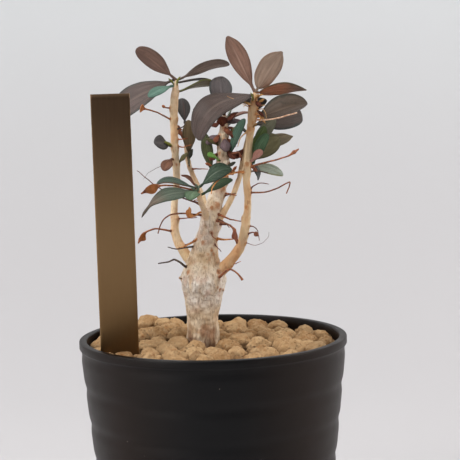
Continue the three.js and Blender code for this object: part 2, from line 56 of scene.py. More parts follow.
noise.seed_set(11)  # else noise_vector would differ from run to run

POT_HIGH = np.array(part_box("pot")[1])
RIM_RADIUS = POT_HIGH[0]
RIM_TOP = POT_HIGH[2]


# ---------------------------------------------------------------- curves and meshes
def unit(vectors):
    """The same vector or rows of vectors, one long."""
    return vectors / np.maximum(np.linalg.norm(vectors, axis=-1, keepdims=True), 1e-12)


def smoothstep(low, high, x):
    t = np.clip((x - low) / (high - low), 0, 1)
    return t * t * (3 - 2 * t)


def spline(rows, steps):
    """A smooth curve through rows of numbers, as a multiple of steps points for each span."""
    p = np.asarray(rows, float)
    p = p[:, None] if p.ndim == 1 else p
    padded = np.vstack([2 * p[:1] - p[1:2], p, 2 * p[-1:] - p[-2:-1]])
    at = np.linspace(0, len(p) - 1, steps * (len(p) - 1) + 1)
    i = np.minimum(at.astype(int), len(p) - 2)
    t = (at - i)[:, None]
    a, b, c, d = (padded[i + k] for k in range(4))
    cubic = 2 * b + (c - a) * t + (2 * a - 5 * b + 4 * c - d) * t**2 + (3 * b - a - 3 * c + d) * t**3
    curve = 0.5 * cubic
    return curve[:, 0] if curve.shape[1] == 1 else curve


def turning_frames(centres):
    """For each point of a path, the way along it and two ways across it that don't spin."""
    along = unit(np.gradient(centres, axis=0))
    side = unit(np.cross(along[0], [0.3, 0.9, 0.2]))
    sides = []
    for direction in along:
        side = unit(side - direction * side.dot(direction))
        sides.append(side)
    sides = np.array(sides)
    return along, sides, np.cross(along, sides)


def tube_rings(centres, radii, sides):
    """Round rings along a path."""
    _, side, across = turning_frames(centres)
    turn = np.linspace(0, 2 * math.pi, sides, endpoint=False)
    ring = np.cos(turn)[:, None, None] * side + np.sin(turn)[:, None, None] * across
    return centres[:, None] + (ring * np.asarray(radii)[:, None]).transpose(1, 0, 2)


def skin_faces(count, sides, start=0):
    """Faces over count rings of sides points each, with a fan to an extra point at each end."""
    faces = []
    first = start + count * sides
    for k in range(sides):
        after = (k + 1) % sides
        faces.append((first, start + after, start + k))
        for r in range(count - 1):
            low, high = start + r * sides, start + (r + 1) * sides
            faces.append((low + k, low + after, high + after, high + k))
        top = start + (count - 1) * sides
        faces.append((top + k, top + after, first + 1))
    return faces


def skinned(rings):
    """Points and faces of closed rings with rounded-off ends."""
    count, sides, _ = rings.shape
    ends = np.array([rings[0].mean(0), rings[-1].mean(0)])
    return np.vstack([rings.reshape(-1, 3), ends]), skin_faces(count, sides)


def set_attributes(mesh, **attributes):
    """Gives a mesh's points numbers for its material, one a point in each attribute."""
    for key, values in attributes.items():
        layer = mesh.attributes.new(key, "FLOAT", "POINT")
        layer.data.foreach_set("value", np.asarray(values, np.float32))


def mesh_piece(name, points, faces, material, **attributes):
    """A new smooth-shaded object, with numbers for its material."""
    mesh = bpy.data.meshes.new(name)
    mesh.from_pydata(np.asarray(points).tolist(), [], faces)
    mesh.polygons.foreach_set("use_smooth", [True] * len(mesh.polygons))
    set_attributes(mesh, **attributes)
    if material:
        mesh.materials.append(material)
    piece = bpy.data.objects.new(name, mesh)
    bpy.context.scene.collection.objects.link(piece)
    return piece


def joined(parts):
    """One list of points, one of faces and one dictionary of attributes from several of each."""
    points, faces, attributes, offset = [], [], {}, 0
    for part_points, part_faces, part_attributes in parts:
        points.append(part_points)
        faces += [tuple(v + offset for v in face) for face in part_faces]
        for key, values in part_attributes.items():
            attributes.setdefault(key, []).append(np.broadcast_to(values, len(part_points)))
        offset += len(part_points)
    return np.vstack(points), faces, {key: np.concatenate(v) for key, v in attributes.items()}


def lathe_piece(name, profile, sides, material):
    """A turned piece. The profile is a closed row of (radius, height), ending on the axis."""
    turn = np.linspace(0, 2 * math.pi, sides, endpoint=False)
    rings = [
        np.stack([r * np.cos(turn), r * np.sin(turn), np.full(sides, z)], 1)
        for r, z in profile[1:-1]
    ]
    rings = np.array(rings)
    ends = np.array([[0, 0, profile[0][1]], [0, 0, profile[-1][1]]])
    points = np.vstack([rings.reshape(-1, 3), ends])
    return mesh_piece(name, points, skin_faces(len(rings), sides), material)


def finish_piece(piece, slot, *nodes):
    """Rides the piece on the plant's one body and hides the CAD nodes it stands for."""
    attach(piece, BODY)
    if nodes:
        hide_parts(*nodes)
    return piece


# ---------------------------------------------------------------- reading the CAD nodes
WELD = 1e-7


def shells_from(near, start):
    """The points of a mesh by how many edges they are from start."""
    seen, shells = {start}, [[start]]
    while True:
        layer = sorted({n for v in shells[-1] for n in near[v]} - seen)
        if not layer:
            return shells
        seen |= set(layer)
        shells.append(layer)


def rings_of(node):
    """The rings that a grown CAD piece is skinned over, with the single point at each end."""
    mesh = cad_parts[node].data
    welded, index, points = {}, [], []
    for vertex in mesh.vertices:
        key = tuple(round(c / WELD) for c in vertex.co)
        if key not in welded:
            welded[key] = len(points)
            points.append(vertex.co[:])
        index.append(welded[key])
    near = [set() for _ in points]
    for edge in mesh.edges:
        a, b = (index[v] for v in edge.vertices)
        if a != b:
            near[a].add(b)
            near[b].add(a)
    points = np.array(points)
    for start in range(len(points)):
        shells = shells_from(near, start)
        sizes = {len(shell) for shell in shells[1:-1]}
        if len(shells[-1]) == 1 and len(sizes) == 1 and min(sizes) > 5:
            return [points[shell] for shell in shells]
    raise ValueError(f"{node} isn't skinned over rings")


class Stem:
    """A round grown piece: points along its middle, and its radius at each."""

    def __init__(self, centres, radii):
        self.centres = np.asarray(centres, float)
        self.radii = np.asarray(radii, float)

    @classmethod
    def of_node(cls, node):
        rings = rings_of(node)
        centres = np.array([ring.mean(0) for ring in rings[1:-1]])
        rim = [np.linalg.norm(ring - c, axis=1).mean() for ring, c in zip(rings[1:-1], centres)]
        return cls(centres, rim)

    def reversed(self):
        return Stem(self.centres[::-1], self.radii[::-1])

    def fine(self, steps):
        return Stem(spline(self.centres, steps), spline(self.radii, steps))

    def nearest(self, point):
        """The index of the middle point nearest to a point."""
        return int(np.argmin(np.linalg.norm(self.centres - point, axis=1)))

    def at_height(self, height):
        return int(np.argmin(np.abs(self.centres[:, 2] - height)))


STEM_NODES = ("caudex", "right_stem", "left_stem", "front_shoot", "fork_stem", "rear_stem")
STEMS = {}
for stem_node in STEM_NODES:
    found = Stem.of_node(stem_node)
    rising = found.centres[0, 2] < found.centres[-1, 2]
    STEMS[stem_node] = (found if rising else found.reversed()).fine(6)


def nearest_stem(point):
    """The stem whose bark is nearest to a point, and the index of its nearest middle point."""
    best = None
    for stem_name, stem in STEMS.items():
        i = stem.nearest(point)
        gap = np.linalg.norm(stem.centres[i] - point) - stem.radii[i]
        if best is None or gap < best[0]:
            best = (gap, stem_name, i)
    return best


def from_the_foot(rings):
    """The rings of a leaf or stalk in order from its foot, which is the end nearer to a stem."""
    first, last = (nearest_stem(rings[k].mean(0))[0] for k in (0, -1))
    return rings if first < last else rings[::-1]


def root_in_stem(foot):
    """A point inside the nearest stem, where something that starts at foot grows from."""
    _, stem_name, i = nearest_stem(foot)
    return STEMS[stem_name].centres[i]


# ---------------------------------------------------------------- materials
def rgb(red, green, blue):
    """A screen colour, from 0 to 255, as Blender's linear numbers."""
    shares = (c / 255 for c in (red, green, blue))
    return (*(c / 12.92 if c <= 0.04045 else ((c + 0.055) / 1.055) ** 2.4 for c in shares), 1.0)


class Shader:
    """A material, with a short call for each node that the looks here are made of."""

    MIX_A, MIX_B, MIX_RESULT = 6, 7, 2  # the colour sockets of a Mix node

    def __init__(self, name, roughness=0.5, specular=0.5, **inputs):
        self.material = bpy.data.materials.new(name)
        self.material.use_nodes = True
        self.tree = self.material.node_tree
        self.main = self.tree.nodes["Principled BSDF"]
        self.main.inputs["Roughness"].default_value = roughness
        self.main.inputs["Specular IOR Level"].default_value = specular
        for key, value in inputs.items():
            self.main.inputs[key.replace("_", " ").title()].default_value = value
        self.where = self.node("ShaderNodeTexCoord").outputs["Object"]

    def node(self, kind, **settings):
        made = self.tree.nodes.new(kind)
        for key, value in settings.items():
            setattr(made, key, value)
        return made

    def put(self, socket, value):
        """Links a socket to an output, or sets it to a number or colour."""
        if isinstance(value, bpy.types.NodeSocket):
            self.tree.links.new(value, socket)
        else:
            socket.default_value = value

    def attribute(self, name):
        return self.node("ShaderNodeAttribute", attribute_name=name).outputs["Fac"]

    def stretched(self, x, y, z):
        """The place on the piece, with each axis scaled."""
        mapping = self.node("ShaderNodeMapping")
        self.put(mapping.inputs["Vector"], self.where)
        mapping.inputs["Scale"].default_value = (x, y, z)
        return mapping.outputs["Vector"]

    def vector(self, x, y, z=0.0):
        made = self.node("ShaderNodeCombineXYZ")
        for socket, value in zip(made.inputs, (x, y, z)):
            self.put(socket, value)
        return made.outputs["Vector"]

    def noise(self, scale, detail=4.0, roughness=0.55, vector=None):
        made = self.node("ShaderNodeTexNoise")
        self.put(made.inputs["Vector"], vector or self.where)
        made.inputs["Scale"].default_value = scale
        made.inputs["Detail"].default_value = detail
        made.inputs["Roughness"].default_value = roughness
        return made.outputs["Fac"]

    def cells(self, scale, vector=None, feature="F1"):
        made = self.node("ShaderNodeTexVoronoi", feature=feature)
        self.put(made.inputs["Vector"], vector or self.where)
        made.inputs["Scale"].default_value = scale
        return made.outputs["Distance"]

    def math(self, operation, a, b=0.0, c=0.0):
        made = self.node("ShaderNodeMath", operation=operation)
        for socket, value in zip(made.inputs, (a, b, c)):
            self.put(socket, value)
        return made.outputs["Value"]

    def band(self, value, low, high):
        """0 below low and 1 above high, or the other way round if low is the higher."""
        made = self.node("ShaderNodeMapRange", interpolation_type="SMOOTHSTEP")
        flip = low > high
        self.put(made.inputs["Value"], value)
        made.inputs["From Min"].default_value = high if flip else low
        made.inputs["From Max"].default_value = low if flip else high
        made.inputs["To Min"].default_value = 1.0 if flip else 0.0
        made.inputs["To Max"].default_value = 0.0 if flip else 1.0
        return made.outputs["Result"]

    def mix(self, share, a, b, blend="MIX"):
        made = self.node("ShaderNodeMix", data_type="RGBA", blend_type=blend)
        self.put(made.inputs["Factor"], share)
        self.put(made.inputs[Shader.MIX_A], a)
        self.put(made.inputs[Shader.MIX_B], b)
        return made.outputs[Shader.MIX_RESULT]

    def dab(self, tone, share, strength, color):
        """The tone with a colour over it where share is high, at this strength at most."""
        return self.mix(self.math("MULTIPLY", share, strength), tone, color)

    def tinted(self, tone, factor):
        """The same tone, lighter or darker."""
        return self.mix(1.0, tone, (factor, factor, factor, 1.0), "MULTIPLY")

    def color(self, value):
        self.put(self.main.inputs["Base Color"], value)

    def roughness(self, value):
        self.put(self.main.inputs["Roughness"], value)

    def bumps(self, *layers):
        """Each layer is (height, depth in metres). The first is the coarsest."""
        normal = None
        for height, depth in layers:
            made = self.node("ShaderNodeBump")
            made.inputs["Strength"].default_value = 1.0
            made.inputs["Distance"].default_value = depth
            self.put(made.inputs["Height"], height)
            if normal:
                self.put(made.inputs["Normal"], normal)
            normal = made.outputs["Normal"]
        self.put(self.main.inputs["Normal"], normal)


def pot_plastic():
    """Black moulded plastic, matt, with a little dust, and a painted brown reflection at the sides,
    stronger in patches.
    """
    s = Shader("pot_plastic", roughness=0.45, specular=0.2)
    patches = s.noise(14, detail=1.5, vector=s.stretched(1, 1, 0.5))
    axes = s.node("ShaderNodeSeparateXYZ")
    s.put(axes.inputs["Vector"], s.where)
    # Painted reflection: towards the sides, and more in patches, the black is mixed towards brown.
    aside = s.band(s.math("ABSOLUTE", axes.outputs["X"]), 0.004, 0.034)
    painted_side_reflection = s.math("MULTIPLY", aside, s.math("MULTIPLY_ADD", s.band(patches, 0.3, 0.6), 0.5, 0.5))
    tone = s.mix(painted_side_reflection, rgb(9, 9, 11), rgb(28, 16, 8))
    dust = s.band(s.cells(300), 0.06, 0.03)
    sparse = s.band(s.noise(60, detail=2), 0.6, 0.66)
    s.color(s.mix(s.math("MULTIPLY", dust, sparse), tone, rgb(140, 132, 122)))
    s.roughness(s.math("MULTIPLY_ADD", s.noise(160, detail=5), 0.14, 0.36))
    grain = s.noise(2600, detail=2)
    s.bumps((patches, 0.0004), (grain, 0.00002))
    return s.material


def potting_mix():
    """Dark grains with pale pumice bits."""
    s = Shader("potting_mix", roughness=0.95, specular=0.2)
    grains = s.cells(420)
    tone = s.mix(s.noise(220), rgb(44, 30, 20), rgb(84, 60, 40))
    s.color(s.mix(s.band(grains, 0.3, 0.1), tone, rgb(120, 98, 74)))
    s.bumps((grains, 0.001), (s.noise(1600), 0.0003))
    return s.material


def clay_stone():
    """Fired clay stones: tan, pitted, each its own tone, with painted shade low down and in their pits.
    """
    s = Shader("clay_stone", roughness=0.95, specular=0.12)
    base = s.mix(s.attribute("tone"), rgb(160, 122, 82), rgb(192, 156, 114))
    blotch = s.band(s.noise(420, detail=6, roughness=0.7), 0.38, 0.66)
    base = s.dab(base, blotch, 0.55, rgb(208, 178, 138))
    rusty = s.band(s.noise(260, detail=4, roughness=0.7), 0.56, 0.72)
    base = s.dab(base, rusty, 0.6, rgb(150, 98, 56))
    pits = s.band(s.noise(1700, detail=3, roughness=0.6), 0.4, 0.3)
    # Painted shade in the pits: they are dabbed dark brown.
    base = s.dab(base, pits, 0.6, rgb(104, 70, 42))
    # Painted shade: each stone is mixed towards dark brown low down, where it meets its neighbours and
    # the bed.
    low = s.math("MULTIPLY", s.attribute("low"), 0.95)
    s.color(s.mix(low, base, rgb(58, 34, 18)))
    rough = s.noise(1500, detail=6, roughness=0.75)
    s.bumps((s.noise(520, detail=4), 0.0009), (rough, 0.0004), (pits, -0.0004))
    return s.material


def bronze():
    """A rolled bronze-coloured strip: lengthwise grain, darker towards its top, worn edges."""
    s = Shader("bronze", roughness=0.38, metallic=0.85)
    height = s.attribute("along")
    low = s.mix(s.band(height, 0.2, 0.6), rgb(114, 88, 56), rgb(136, 108, 74))
    tone = s.mix(s.band(height, 0.55, 1.0), low, rgb(88, 68, 50))
    grain = s.noise(1500, detail=3, vector=s.stretched(1, 1, 0.02))
    tone = s.dab(tone, s.band(grain, 0.35, 0.7), 0.04, rgb(160, 128, 92))
    worn = s.math("MULTIPLY", s.attribute("edge"), s.band(s.noise(300), 0.4, 0.6))
    s.color(s.dab(tone, worn, 0.5, rgb(196, 164, 120)))
    smudge = s.noise(45, detail=3)
    s.roughness(s.math("MULTIPLY_ADD", smudge, 0.22, 0.27))
    s.bumps((grain, 0.000003))
    return s.material


def bark():
    """Papery pale bark, finely cracked, chalky where it swells and brown in its scars.

    The young stems are cream with orange patches.
    """
    s = Shader("bark", roughness=0.8, specular=0.22)
    youth, scar, chalky, damp = (s.attribute(n) for n in ("youth", "scar", "chalky", "damp"))
    upright = s.stretched(1, 1, 0.2)
    level = s.stretched(0.35, 0.35, 1)
    old = s.mix(s.band(s.noise(240, detail=5), 0.36, 0.64), rgb(212, 182, 146), rgb(238, 218, 190))
    young = s.mix(s.noise(170, detail=4, vector=upright), rgb(212, 176, 130), rgb(242, 220, 184))
    tone = s.mix(s.band(youth, 0.15, 0.75), old, young)
    chalk = s.math("MULTIPLY", chalky, s.band(s.noise(300, detail=5, vector=upright), 0.3, 0.6))
    tone = s.dab(tone, chalk, 0.85, rgb(250, 242, 232))
    blush = s.band(s.noise(190, detail=3), 0.52, 0.68)
    tone = s.dab(tone, blush, 0.4, rgb(196, 136, 100))
    orange = s.band(s.noise(170, detail=4, vector=s.stretched(1, 1, 0.3)), 0.46, 0.64)
    orange = s.math("MULTIPLY", orange, s.band(youth, 0.3, 0.9))
    tone = s.dab(tone, orange, 0.5, rgb(206, 142, 84))
    crack = s.band(s.noise(2300, detail=4, roughness=0.6, vector=upright), 0.47, 0.38)
    crack = s.math("MULTIPLY", crack, s.math("MULTIPLY_ADD", youth, -0.6, 1.0))
    tone = s.dab(tone, crack, 0.36, rgb(150, 108, 72))
    crease = s.band(s.noise(2000, detail=3, vector=level), 0.44, 0.36)
    crease = s.math("MULTIPLY", crease, chalky)
    tone = s.dab(tone, crease, 0.3, rgb(156, 120, 86))
    flake = s.band(s.noise(520, detail=3, vector=s.stretched(1, 1, 0.45)), 0.64, 0.72)
    tone = s.dab(tone, flake, 0.45, rgb(160, 108, 68))
    # Darker brown patches low on the trunk by the gravel, most on its front.
    dark_foot_patches = s.math("MULTIPLY", damp, s.band(s.noise(420, detail=4, vector=upright), 0.36, 0.6))
    tone = s.dab(tone, dark_foot_patches, 0.8, rgb(112, 66, 36))
    ragged = s.math("ADD", scar, s.math("MULTIPLY_ADD", s.noise(1100, detail=3), 0.7, -0.35))
    tone = s.dab(tone, s.band(ragged, 0.15, 0.6), 0.8, rgb(188, 120, 68))
    s.color(s.mix(s.band(ragged, 0.6, 0.95), tone, rgb(86, 48, 30)))
    s.bumps((crack, -0.00014), (crease, -0.0001), (s.noise(1900, detail=5), 0.0001))
    return s.material


def dried_stalk(name, dark, light, leaf=rgb(204, 130, 66)):
    """Dry woody stalks, streaked along their length, with dead leaves of a colour of their own."""
    s = Shader(name, roughness=0.7, specular=0.3)
    streak = s.noise(1100, detail=4, vector=s.stretched(1, 1, 0.5))
    tone = s.mix(s.band(streak, 0.35, 0.65), dark, light)
    s.color(s.dab(tone, s.attribute("leafy"), 0.5, leaf))
    s.bumps((streak, 0.00015))
    return s.material


def leaf_skin(name, face, edge, rib, tip, gloss):
    """A fleshy leaf, finely streaked along its length, with a soft light midrib.

    Its margin and its end have colours of their own.
    """
    s = Shader(name, roughness=gloss, specular=0.28)
    along, across = s.attribute("along"), s.attribute("across")
    off = s.math("ABSOLUTE", across)
    fine = s.noise(3.0, detail=4, vector=s.vector(s.math("MULTIPLY", across, 10.0), along))
    broad = s.noise(2.2, detail=2, vector=s.vector(s.math("MULTIPLY", across, 2.4), along, 3.0))
    mottle = s.noise(460, detail=5, roughness=0.65)
    whole = s.mix(s.band(along, 0.55, 0.8), face, tip)
    tone = s.mix(s.band(broad, 0.36, 0.66), s.tinted(whole, 0.84), s.tinted(whole, 1.14))
    tone = s.dab(tone, s.band(fine, 0.5, 0.72), 0.2, rib)
    tone = s.dab(tone, s.band(mottle, 0.5, 0.72), 0.4, edge)
    ribbed = s.math("MULTIPLY", s.band(off, 0.14, 0.0), s.band(along, 1.0, 0.5))
    tone = s.dab(tone, ribbed, 0.55, rib)
    veins = s.node("ShaderNodeTexWave", wave_type="BANDS", bands_direction="X")
    slant = s.math("ADD", along, s.math("MULTIPLY", off, -0.25))
    s.put(veins.inputs["Vector"], s.vector(slant, fine))
    veins.inputs["Scale"].default_value = 3.0
    veins.inputs["Distortion"].default_value = 2.4
    vein = s.math("MULTIPLY", s.band(veins.outputs["Fac"], 0.75, 1.0), s.band(off, 0.02, 0.3))
    tone = s.dab(tone, vein, 0.06, rib)
    rim = s.band(s.math("ADD", off, s.math("MULTIPLY_ADD", mottle, 0.24, -0.12)), 0.74, 0.96)
    s.color(s.dab(tone, rim, 0.85, edge))
    s.roughness(s.math("MULTIPLY_ADD", mottle, 0.24, gloss - 0.12))
    s.bumps((broad, 0.0004), (fine, 0.00016), (s.noise(2600, detail=2), 0.00003))
    return s.material


# ---------------------------------------------------------------- pot
WALL = 1.9 * MM
LIP_HEIGHT = 2.6 * MM
LIP_PROUD = 0.25 * MM
GROOVE_PITCH = 12 * MM
GROOVE_DEPTH = 0.4 * MM
FIRST_GROOVE = 4 * MM  # below the rim
FOOT_ROUND = 0.8 * MM  # how far the foot ring is drawn in from the wall
FOOT_RING = 4 * MM
FOOT_HEIGHT = 2.6 * MM
FLOOR = 2.2 * MM
DRAIN_RADIUS = 1.8 * MM
DRAIN_RING = 18 * MM
DRAIN_HOLES = 8
POT_SIDES = 160
SOFT_EDGE = 0.3 * MM


def pot_profile():
    """The pot's outline, from the middle of its underside round to the middle of its floor."""
    underside = [v.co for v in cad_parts["pot"].data.vertices if v.co.z < 0.1 * MM]
    ring_edge = max(math.hypot(point.x, point.y) for point in underside)
    foot = ring_edge + FOOT_ROUND
    wall_top = RIM_TOP - LIP_HEIGHT
    slope = (RIM_RADIUS - LIP_PROUD - foot) / wall_top

    def outside(z):
        wave = 0.5 + 0.5 * math.cos(2 * math.pi * (RIM_TOP - FIRST_GROOVE - z) / GROOVE_PITCH)
        return foot + slope * z - GROOVE_DEPTH * wave**4

    def inside(z):
        return foot + slope * min(z, wall_top) - WALL - GROOVE_DEPTH

    floor_top = FOOT_HEIGHT + FLOOR
    ring = foot - FOOT_RING
    soft = SOFT_EDGE
    profile = [(0, FOOT_HEIGHT), (ring - 2 * soft, FOOT_HEIGHT), (ring, FOOT_HEIGHT - soft)]
    profile += [(ring, soft), (ring + soft, 0), (ring_edge - soft, 0), (ring_edge + soft, soft)]
    profile += [(outside(z), z) for z in np.linspace(1 * MM, wall_top - soft, 150)]
    profile += [
        (RIM_RADIUS - 0.6 * LIP_PROUD, wall_top),
        (RIM_RADIUS, wall_top + soft),
        (RIM_RADIUS, RIM_TOP - 1.4 * soft),
        (RIM_RADIUS - 0.3 * soft, RIM_TOP - 0.5 * soft),
        (RIM_RADIUS - soft, RIM_TOP - 0.1 * soft),
        (RIM_RADIUS - 1.6 * soft, RIM_TOP),
        (inside(RIM_TOP) + 1.6 * soft, RIM_TOP),
        (inside(RIM_TOP) + 0.6 * soft, RIM_TOP - 0.3 * soft),
        (inside(RIM_TOP), RIM_TOP - 1.4 * soft),
    ]
    profile += [(inside(z), z) for z in np.linspace(RIM_TOP - 2 * MM, floor_top + soft, 40)]
    profile += [(inside(floor_top) - 2 * soft, floor_top), (0, floor_top)]
    return profile


def drain_cutter():
    """Round rods through the pot's floor, one in the middle and the others in a ring."""
    spots = [(0.0, 0.0)]
    for turn in np.linspace(0, 2 * math.pi, DRAIN_HOLES, endpoint=False):
        spots.append((DRAIN_RING * math.cos(turn), DRAIN_RING * math.sin(turn)))
    parts = []
    for x, y in spots:
        rod = np.array([[x, y, z] for z in (FOOT_HEIGHT - FLOOR, FOOT_HEIGHT + 2 * FLOOR)])
        points, faces = skinned(tube_rings(rod, [DRAIN_RADIUS] * 2, 32))
        parts.append((points, faces, {}))
    points, faces, _ = joined(parts)
    return mesh_piece("drain_cutter", points, faces, None)


def modified_mesh(piece):
    """Bakes a piece's modifiers into its mesh."""
    bpy.context.view_layer.update()
    shaped = piece.evaluated_get(bpy.context.evaluated_depsgraph_get())
    mesh = bpy.data.meshes.new_from_object(shaped)
    piece.modifiers.clear()
    old = piece.data
    piece.data = mesh
    bpy.data.meshes.remove(old)


def make_pot():
    pot = lathe_piece("pot_shell", pot_profile(), POT_SIDES, pot_plastic())
    rods = drain_cutter()
    drill = pot.modifiers.new("drains", "BOOLEAN")
    drill.operation = "DIFFERENCE"
    drill.object = rods
    modified_mesh(pot)
    bpy.data.objects.remove(rods)
    finish_piece(pot, "pot", "pot")


# ---------------------------------------------------------------- gravel
GRAVEL_LOW, GRAVEL_HIGH = (np.array(corner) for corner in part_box("top_gravel"))
GRAVEL_RADIUS = GRAVEL_HIGH[0]
LARGE_STONES = 80
SMALL_STONES = 36
LARGE_RADII = (3.0 * MM, 4.7 * MM)
SMALL_RADII = (1.3 * MM, 2.2 * MM)
STONE_STRETCH = np.array([1.14, 1.0, 0.94])
STONE_TILT = 0.35
FLAT_SIDES = 9
FLAT_DEPTHS = (0.68, 0.92)  # from a lump's middle, as shares of its radius
LUMPS = ((1.3, 0.16), (3.1, 0.1), (7.5, 0.06))  # how close and how proud
SETTLING_STEPS = 240
SINKING = 0.16 * MM  # in one step
PUSHING = 0.35  # how much of an overlap one step clears
CLOSE = 0.9  # the share of its radius at which a stone touches what is beside it
STONE_FLOOR = GRAVEL_LOW[2] - 0.6 * MM
HEAPED = 16
HEAP = np.array([-15, 17, 87]) * MM
HEAP_SPREAD = np.array([6, 5, 1])
HEAP_RISE = 2.4 * MM
HEAP_REACH = 10 * MM
HIGHEST = RIM_TOP + 2.2 * MM  # of the stones that aren't on the heap
HOLLOW = np.array([-2.2, -6.4]) * MM
HOLLOW_RADIUS = 2.2 * MM
FILLING_TRIES = 4000
FILLING_LARGEST = 3.6 * MM
FILLING_TUCK = 0.85  # the share of a stone's radius that filling stones keep off
FILLING_RISE = 0.4  # of a filling stone's middle above the bed, as a share of its radius
FILLING_SHADE = 0.3
FINE, PLAIN = 4, 3  # how finely a stone's ball is divided
BED_TOP = GRAVEL_LOW[2] + 1.2 * MM
BED_GRAIN = 0.8 * MM
LABEL_HALF = 6.6 * MM


def label_frame():
    """The label's rings of four corners, from its foot to its top."""
    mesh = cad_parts["plant_label"].data
    corners = {tuple(round(c / WELD) * WELD for c in v.co) for v in mesh.vertices}
    corners = np.array(sorted(corners, key=lambda corner: corner[2]))
    axis = unit(corners[-4:].mean(0) - corners[:4].mean(0))
    return corners[np.argsort(corners @ axis)].reshape(-1, 4, 3)


def mound(place):
    """How much higher than elsewhere the gravel lies, which is heaped behind the label."""
    away = np.linalg.norm(place[:, :2] - HEAP[:2], axis=1)
    return HEAP_RISE * np.exp(-((away / HEAP_REACH) ** 2))


def trunk_in_gravel():
    """The trunk's middle and radius where it comes out of the gravel."""
    trunk = STEMS["caudex"]
    i = trunk.at_height(GRAVEL_HIGH[2] - 2 * MM)
    return trunk.centres[i], trunk.radii[i]


def dropped_stones(rng):
    """Where the stones start and how large they are, with the first few over the heap."""
    large = rng.uniform(*LARGE_RADII, LARGE_STONES)
    small = rng.uniform(*SMALL_RADII, SMALL_STONES)
    size = np.concatenate([large, small])
    angle = rng.uniform(0, 2 * math.pi, len(size))
    spread = GRAVEL_RADIUS * np.sqrt(rng.uniform(0, 1, len(size)))
    place = np.stack([spread * np.cos(angle), spread * np.sin(angle), np.zeros(len(size))], 1)
    place[:, 2] = STONE_FLOOR + size + rng.uniform(0, 3 * MM, len(size))
    place[:HEAPED] = HEAP + rng.normal(0, 1, (HEAPED, 3)) * HEAP_SPREAD * MM
    return place, size


def pushed_apart(place, size):
    gap = place[:, None] - place[None]
    distance = np.linalg.norm(gap, axis=2) + 1e-9
    overlap = size[:, None] + size[None] - distance
    np.fill_diagonal(overlap, 0)
    push = np.where(overlap > 0, overlap, 0)[:, :, None] * gap / distance[:, :, None]
    push[:, :, 2] *= 0.6
    return PUSHING * push.sum(1)


def keep_in_pot(place, size):
    out = np.linalg.norm(place[:, :2], axis=1)
    most = GRAVEL_RADIUS + 0.2 * MM - 0.92 * size
    place[:, :2] *= np.minimum(1, most / np.maximum(out, 1e-9))[:, None]
    place[:, 2] = np.minimum(place[:, 2], HIGHEST + mound(place) - CLOSE * size)
    place[:, 2] = np.maximum(place[:, 2], STONE_FLOOR + mound(place) + 0.5 * size)


def settled_stones():
    """Balls dropped on the gravel bed and pushed apart until they lie on and beside each other.

    A few start on a heap behind the label, and a small hollow stays open by the trunk.
    """
    place, size = dropped_stones(np.random.default_rng(5))
    trunk_middle, trunk_radius = trunk_in_gravel()
    label_at = middle_in_gravel(label_frame())
    for _ in range(SETTLING_STEPS):
        place[:, 2] -= SINKING
        place += pushed_apart(place, size)
        keep_off(place, size, trunk_middle, trunk_radius * 0.95)
        keep_off(place, size, HOLLOW, HOLLOW_RADIUS)
        keep_behind_label(place, size, label_at)
        keep_in_pot(place, size)
    behind = ~in_front_of_label(place, size, label_at)
    return place[behind], size[behind]


def middle_in_gravel(label_rings):
    """Where the label goes down into the gravel."""
    middles = label_rings.mean(1)
    return middles[middles[:, 2] < RIM_TOP][-1]


def keep_off(place, size, centre, radius):
    away = place[:, :2] - centre[:2]
    distance = np.linalg.norm(away, axis=1) + 1e-9
    short = np.maximum(0, radius + CLOSE * size - distance)
    place[:, :2] += away / distance[:, None] * short[:, None]


def beside_label(place, size, middle):
    return np.abs(place[:, 0] - middle[0]) < LABEL_HALF + 0.6 * size


def in_front_of_label(place, size, middle):
    return beside_label(place, size, middle) & (place[:, 1] < middle[1])


def keep_behind_label(place, size, middle):
    """Pushes back the stones that the label would cut through."""
    gap = place[:, 1] - middle[1]
    near = beside_label(place, size, middle) & (gap > 0) & (gap < size)
    place[near, 1] += (size - gap)[near] * 0.5


def filling_stones(place, size):
    """Stones that lie on the bed in the gaps, each as large as its gap leaves room for."""
    rng = np.random.default_rng(21)
    trunk_middle, trunk_radius = trunk_in_gravel()
    label_at = middle_in_gravel(label_frame())
    taken = [(*spot[:2], FILLING_TUCK * radius) for spot, radius in zip(place, size)]
    taken.append((*trunk_middle[:2], trunk_radius))
    taken.append((*HOLLOW, HOLLOW_RADIUS))
    stones = []
    for _ in range(FILLING_TRIES):
        spot = rng.uniform(-GRAVEL_RADIUS, GRAVEL_RADIUS, 2)
        others = np.array(taken)
        room = (np.linalg.norm(others[:, :2] - spot, axis=1) - others[:, 2]).min()
        aside = max(abs(spot[0] - label_at[0]) - LABEL_HALF, 0)
        from_label = math.hypot(aside, spot[1] - label_at[1]) - 0.5 * MM
        room = min(room, GRAVEL_RADIUS - np.linalg.norm(spot), from_label)
        if room < SMALL_RADII[0]:
            continue
        radius = min(room, FILLING_LARGEST)
        centre = np.array([*spot, BED_TOP + FILLING_RISE * radius])
        centre[2] += mound(centre[None])[0]
        taken.append((*spot, radius))
        stones.append((centre, radius))
    return stones


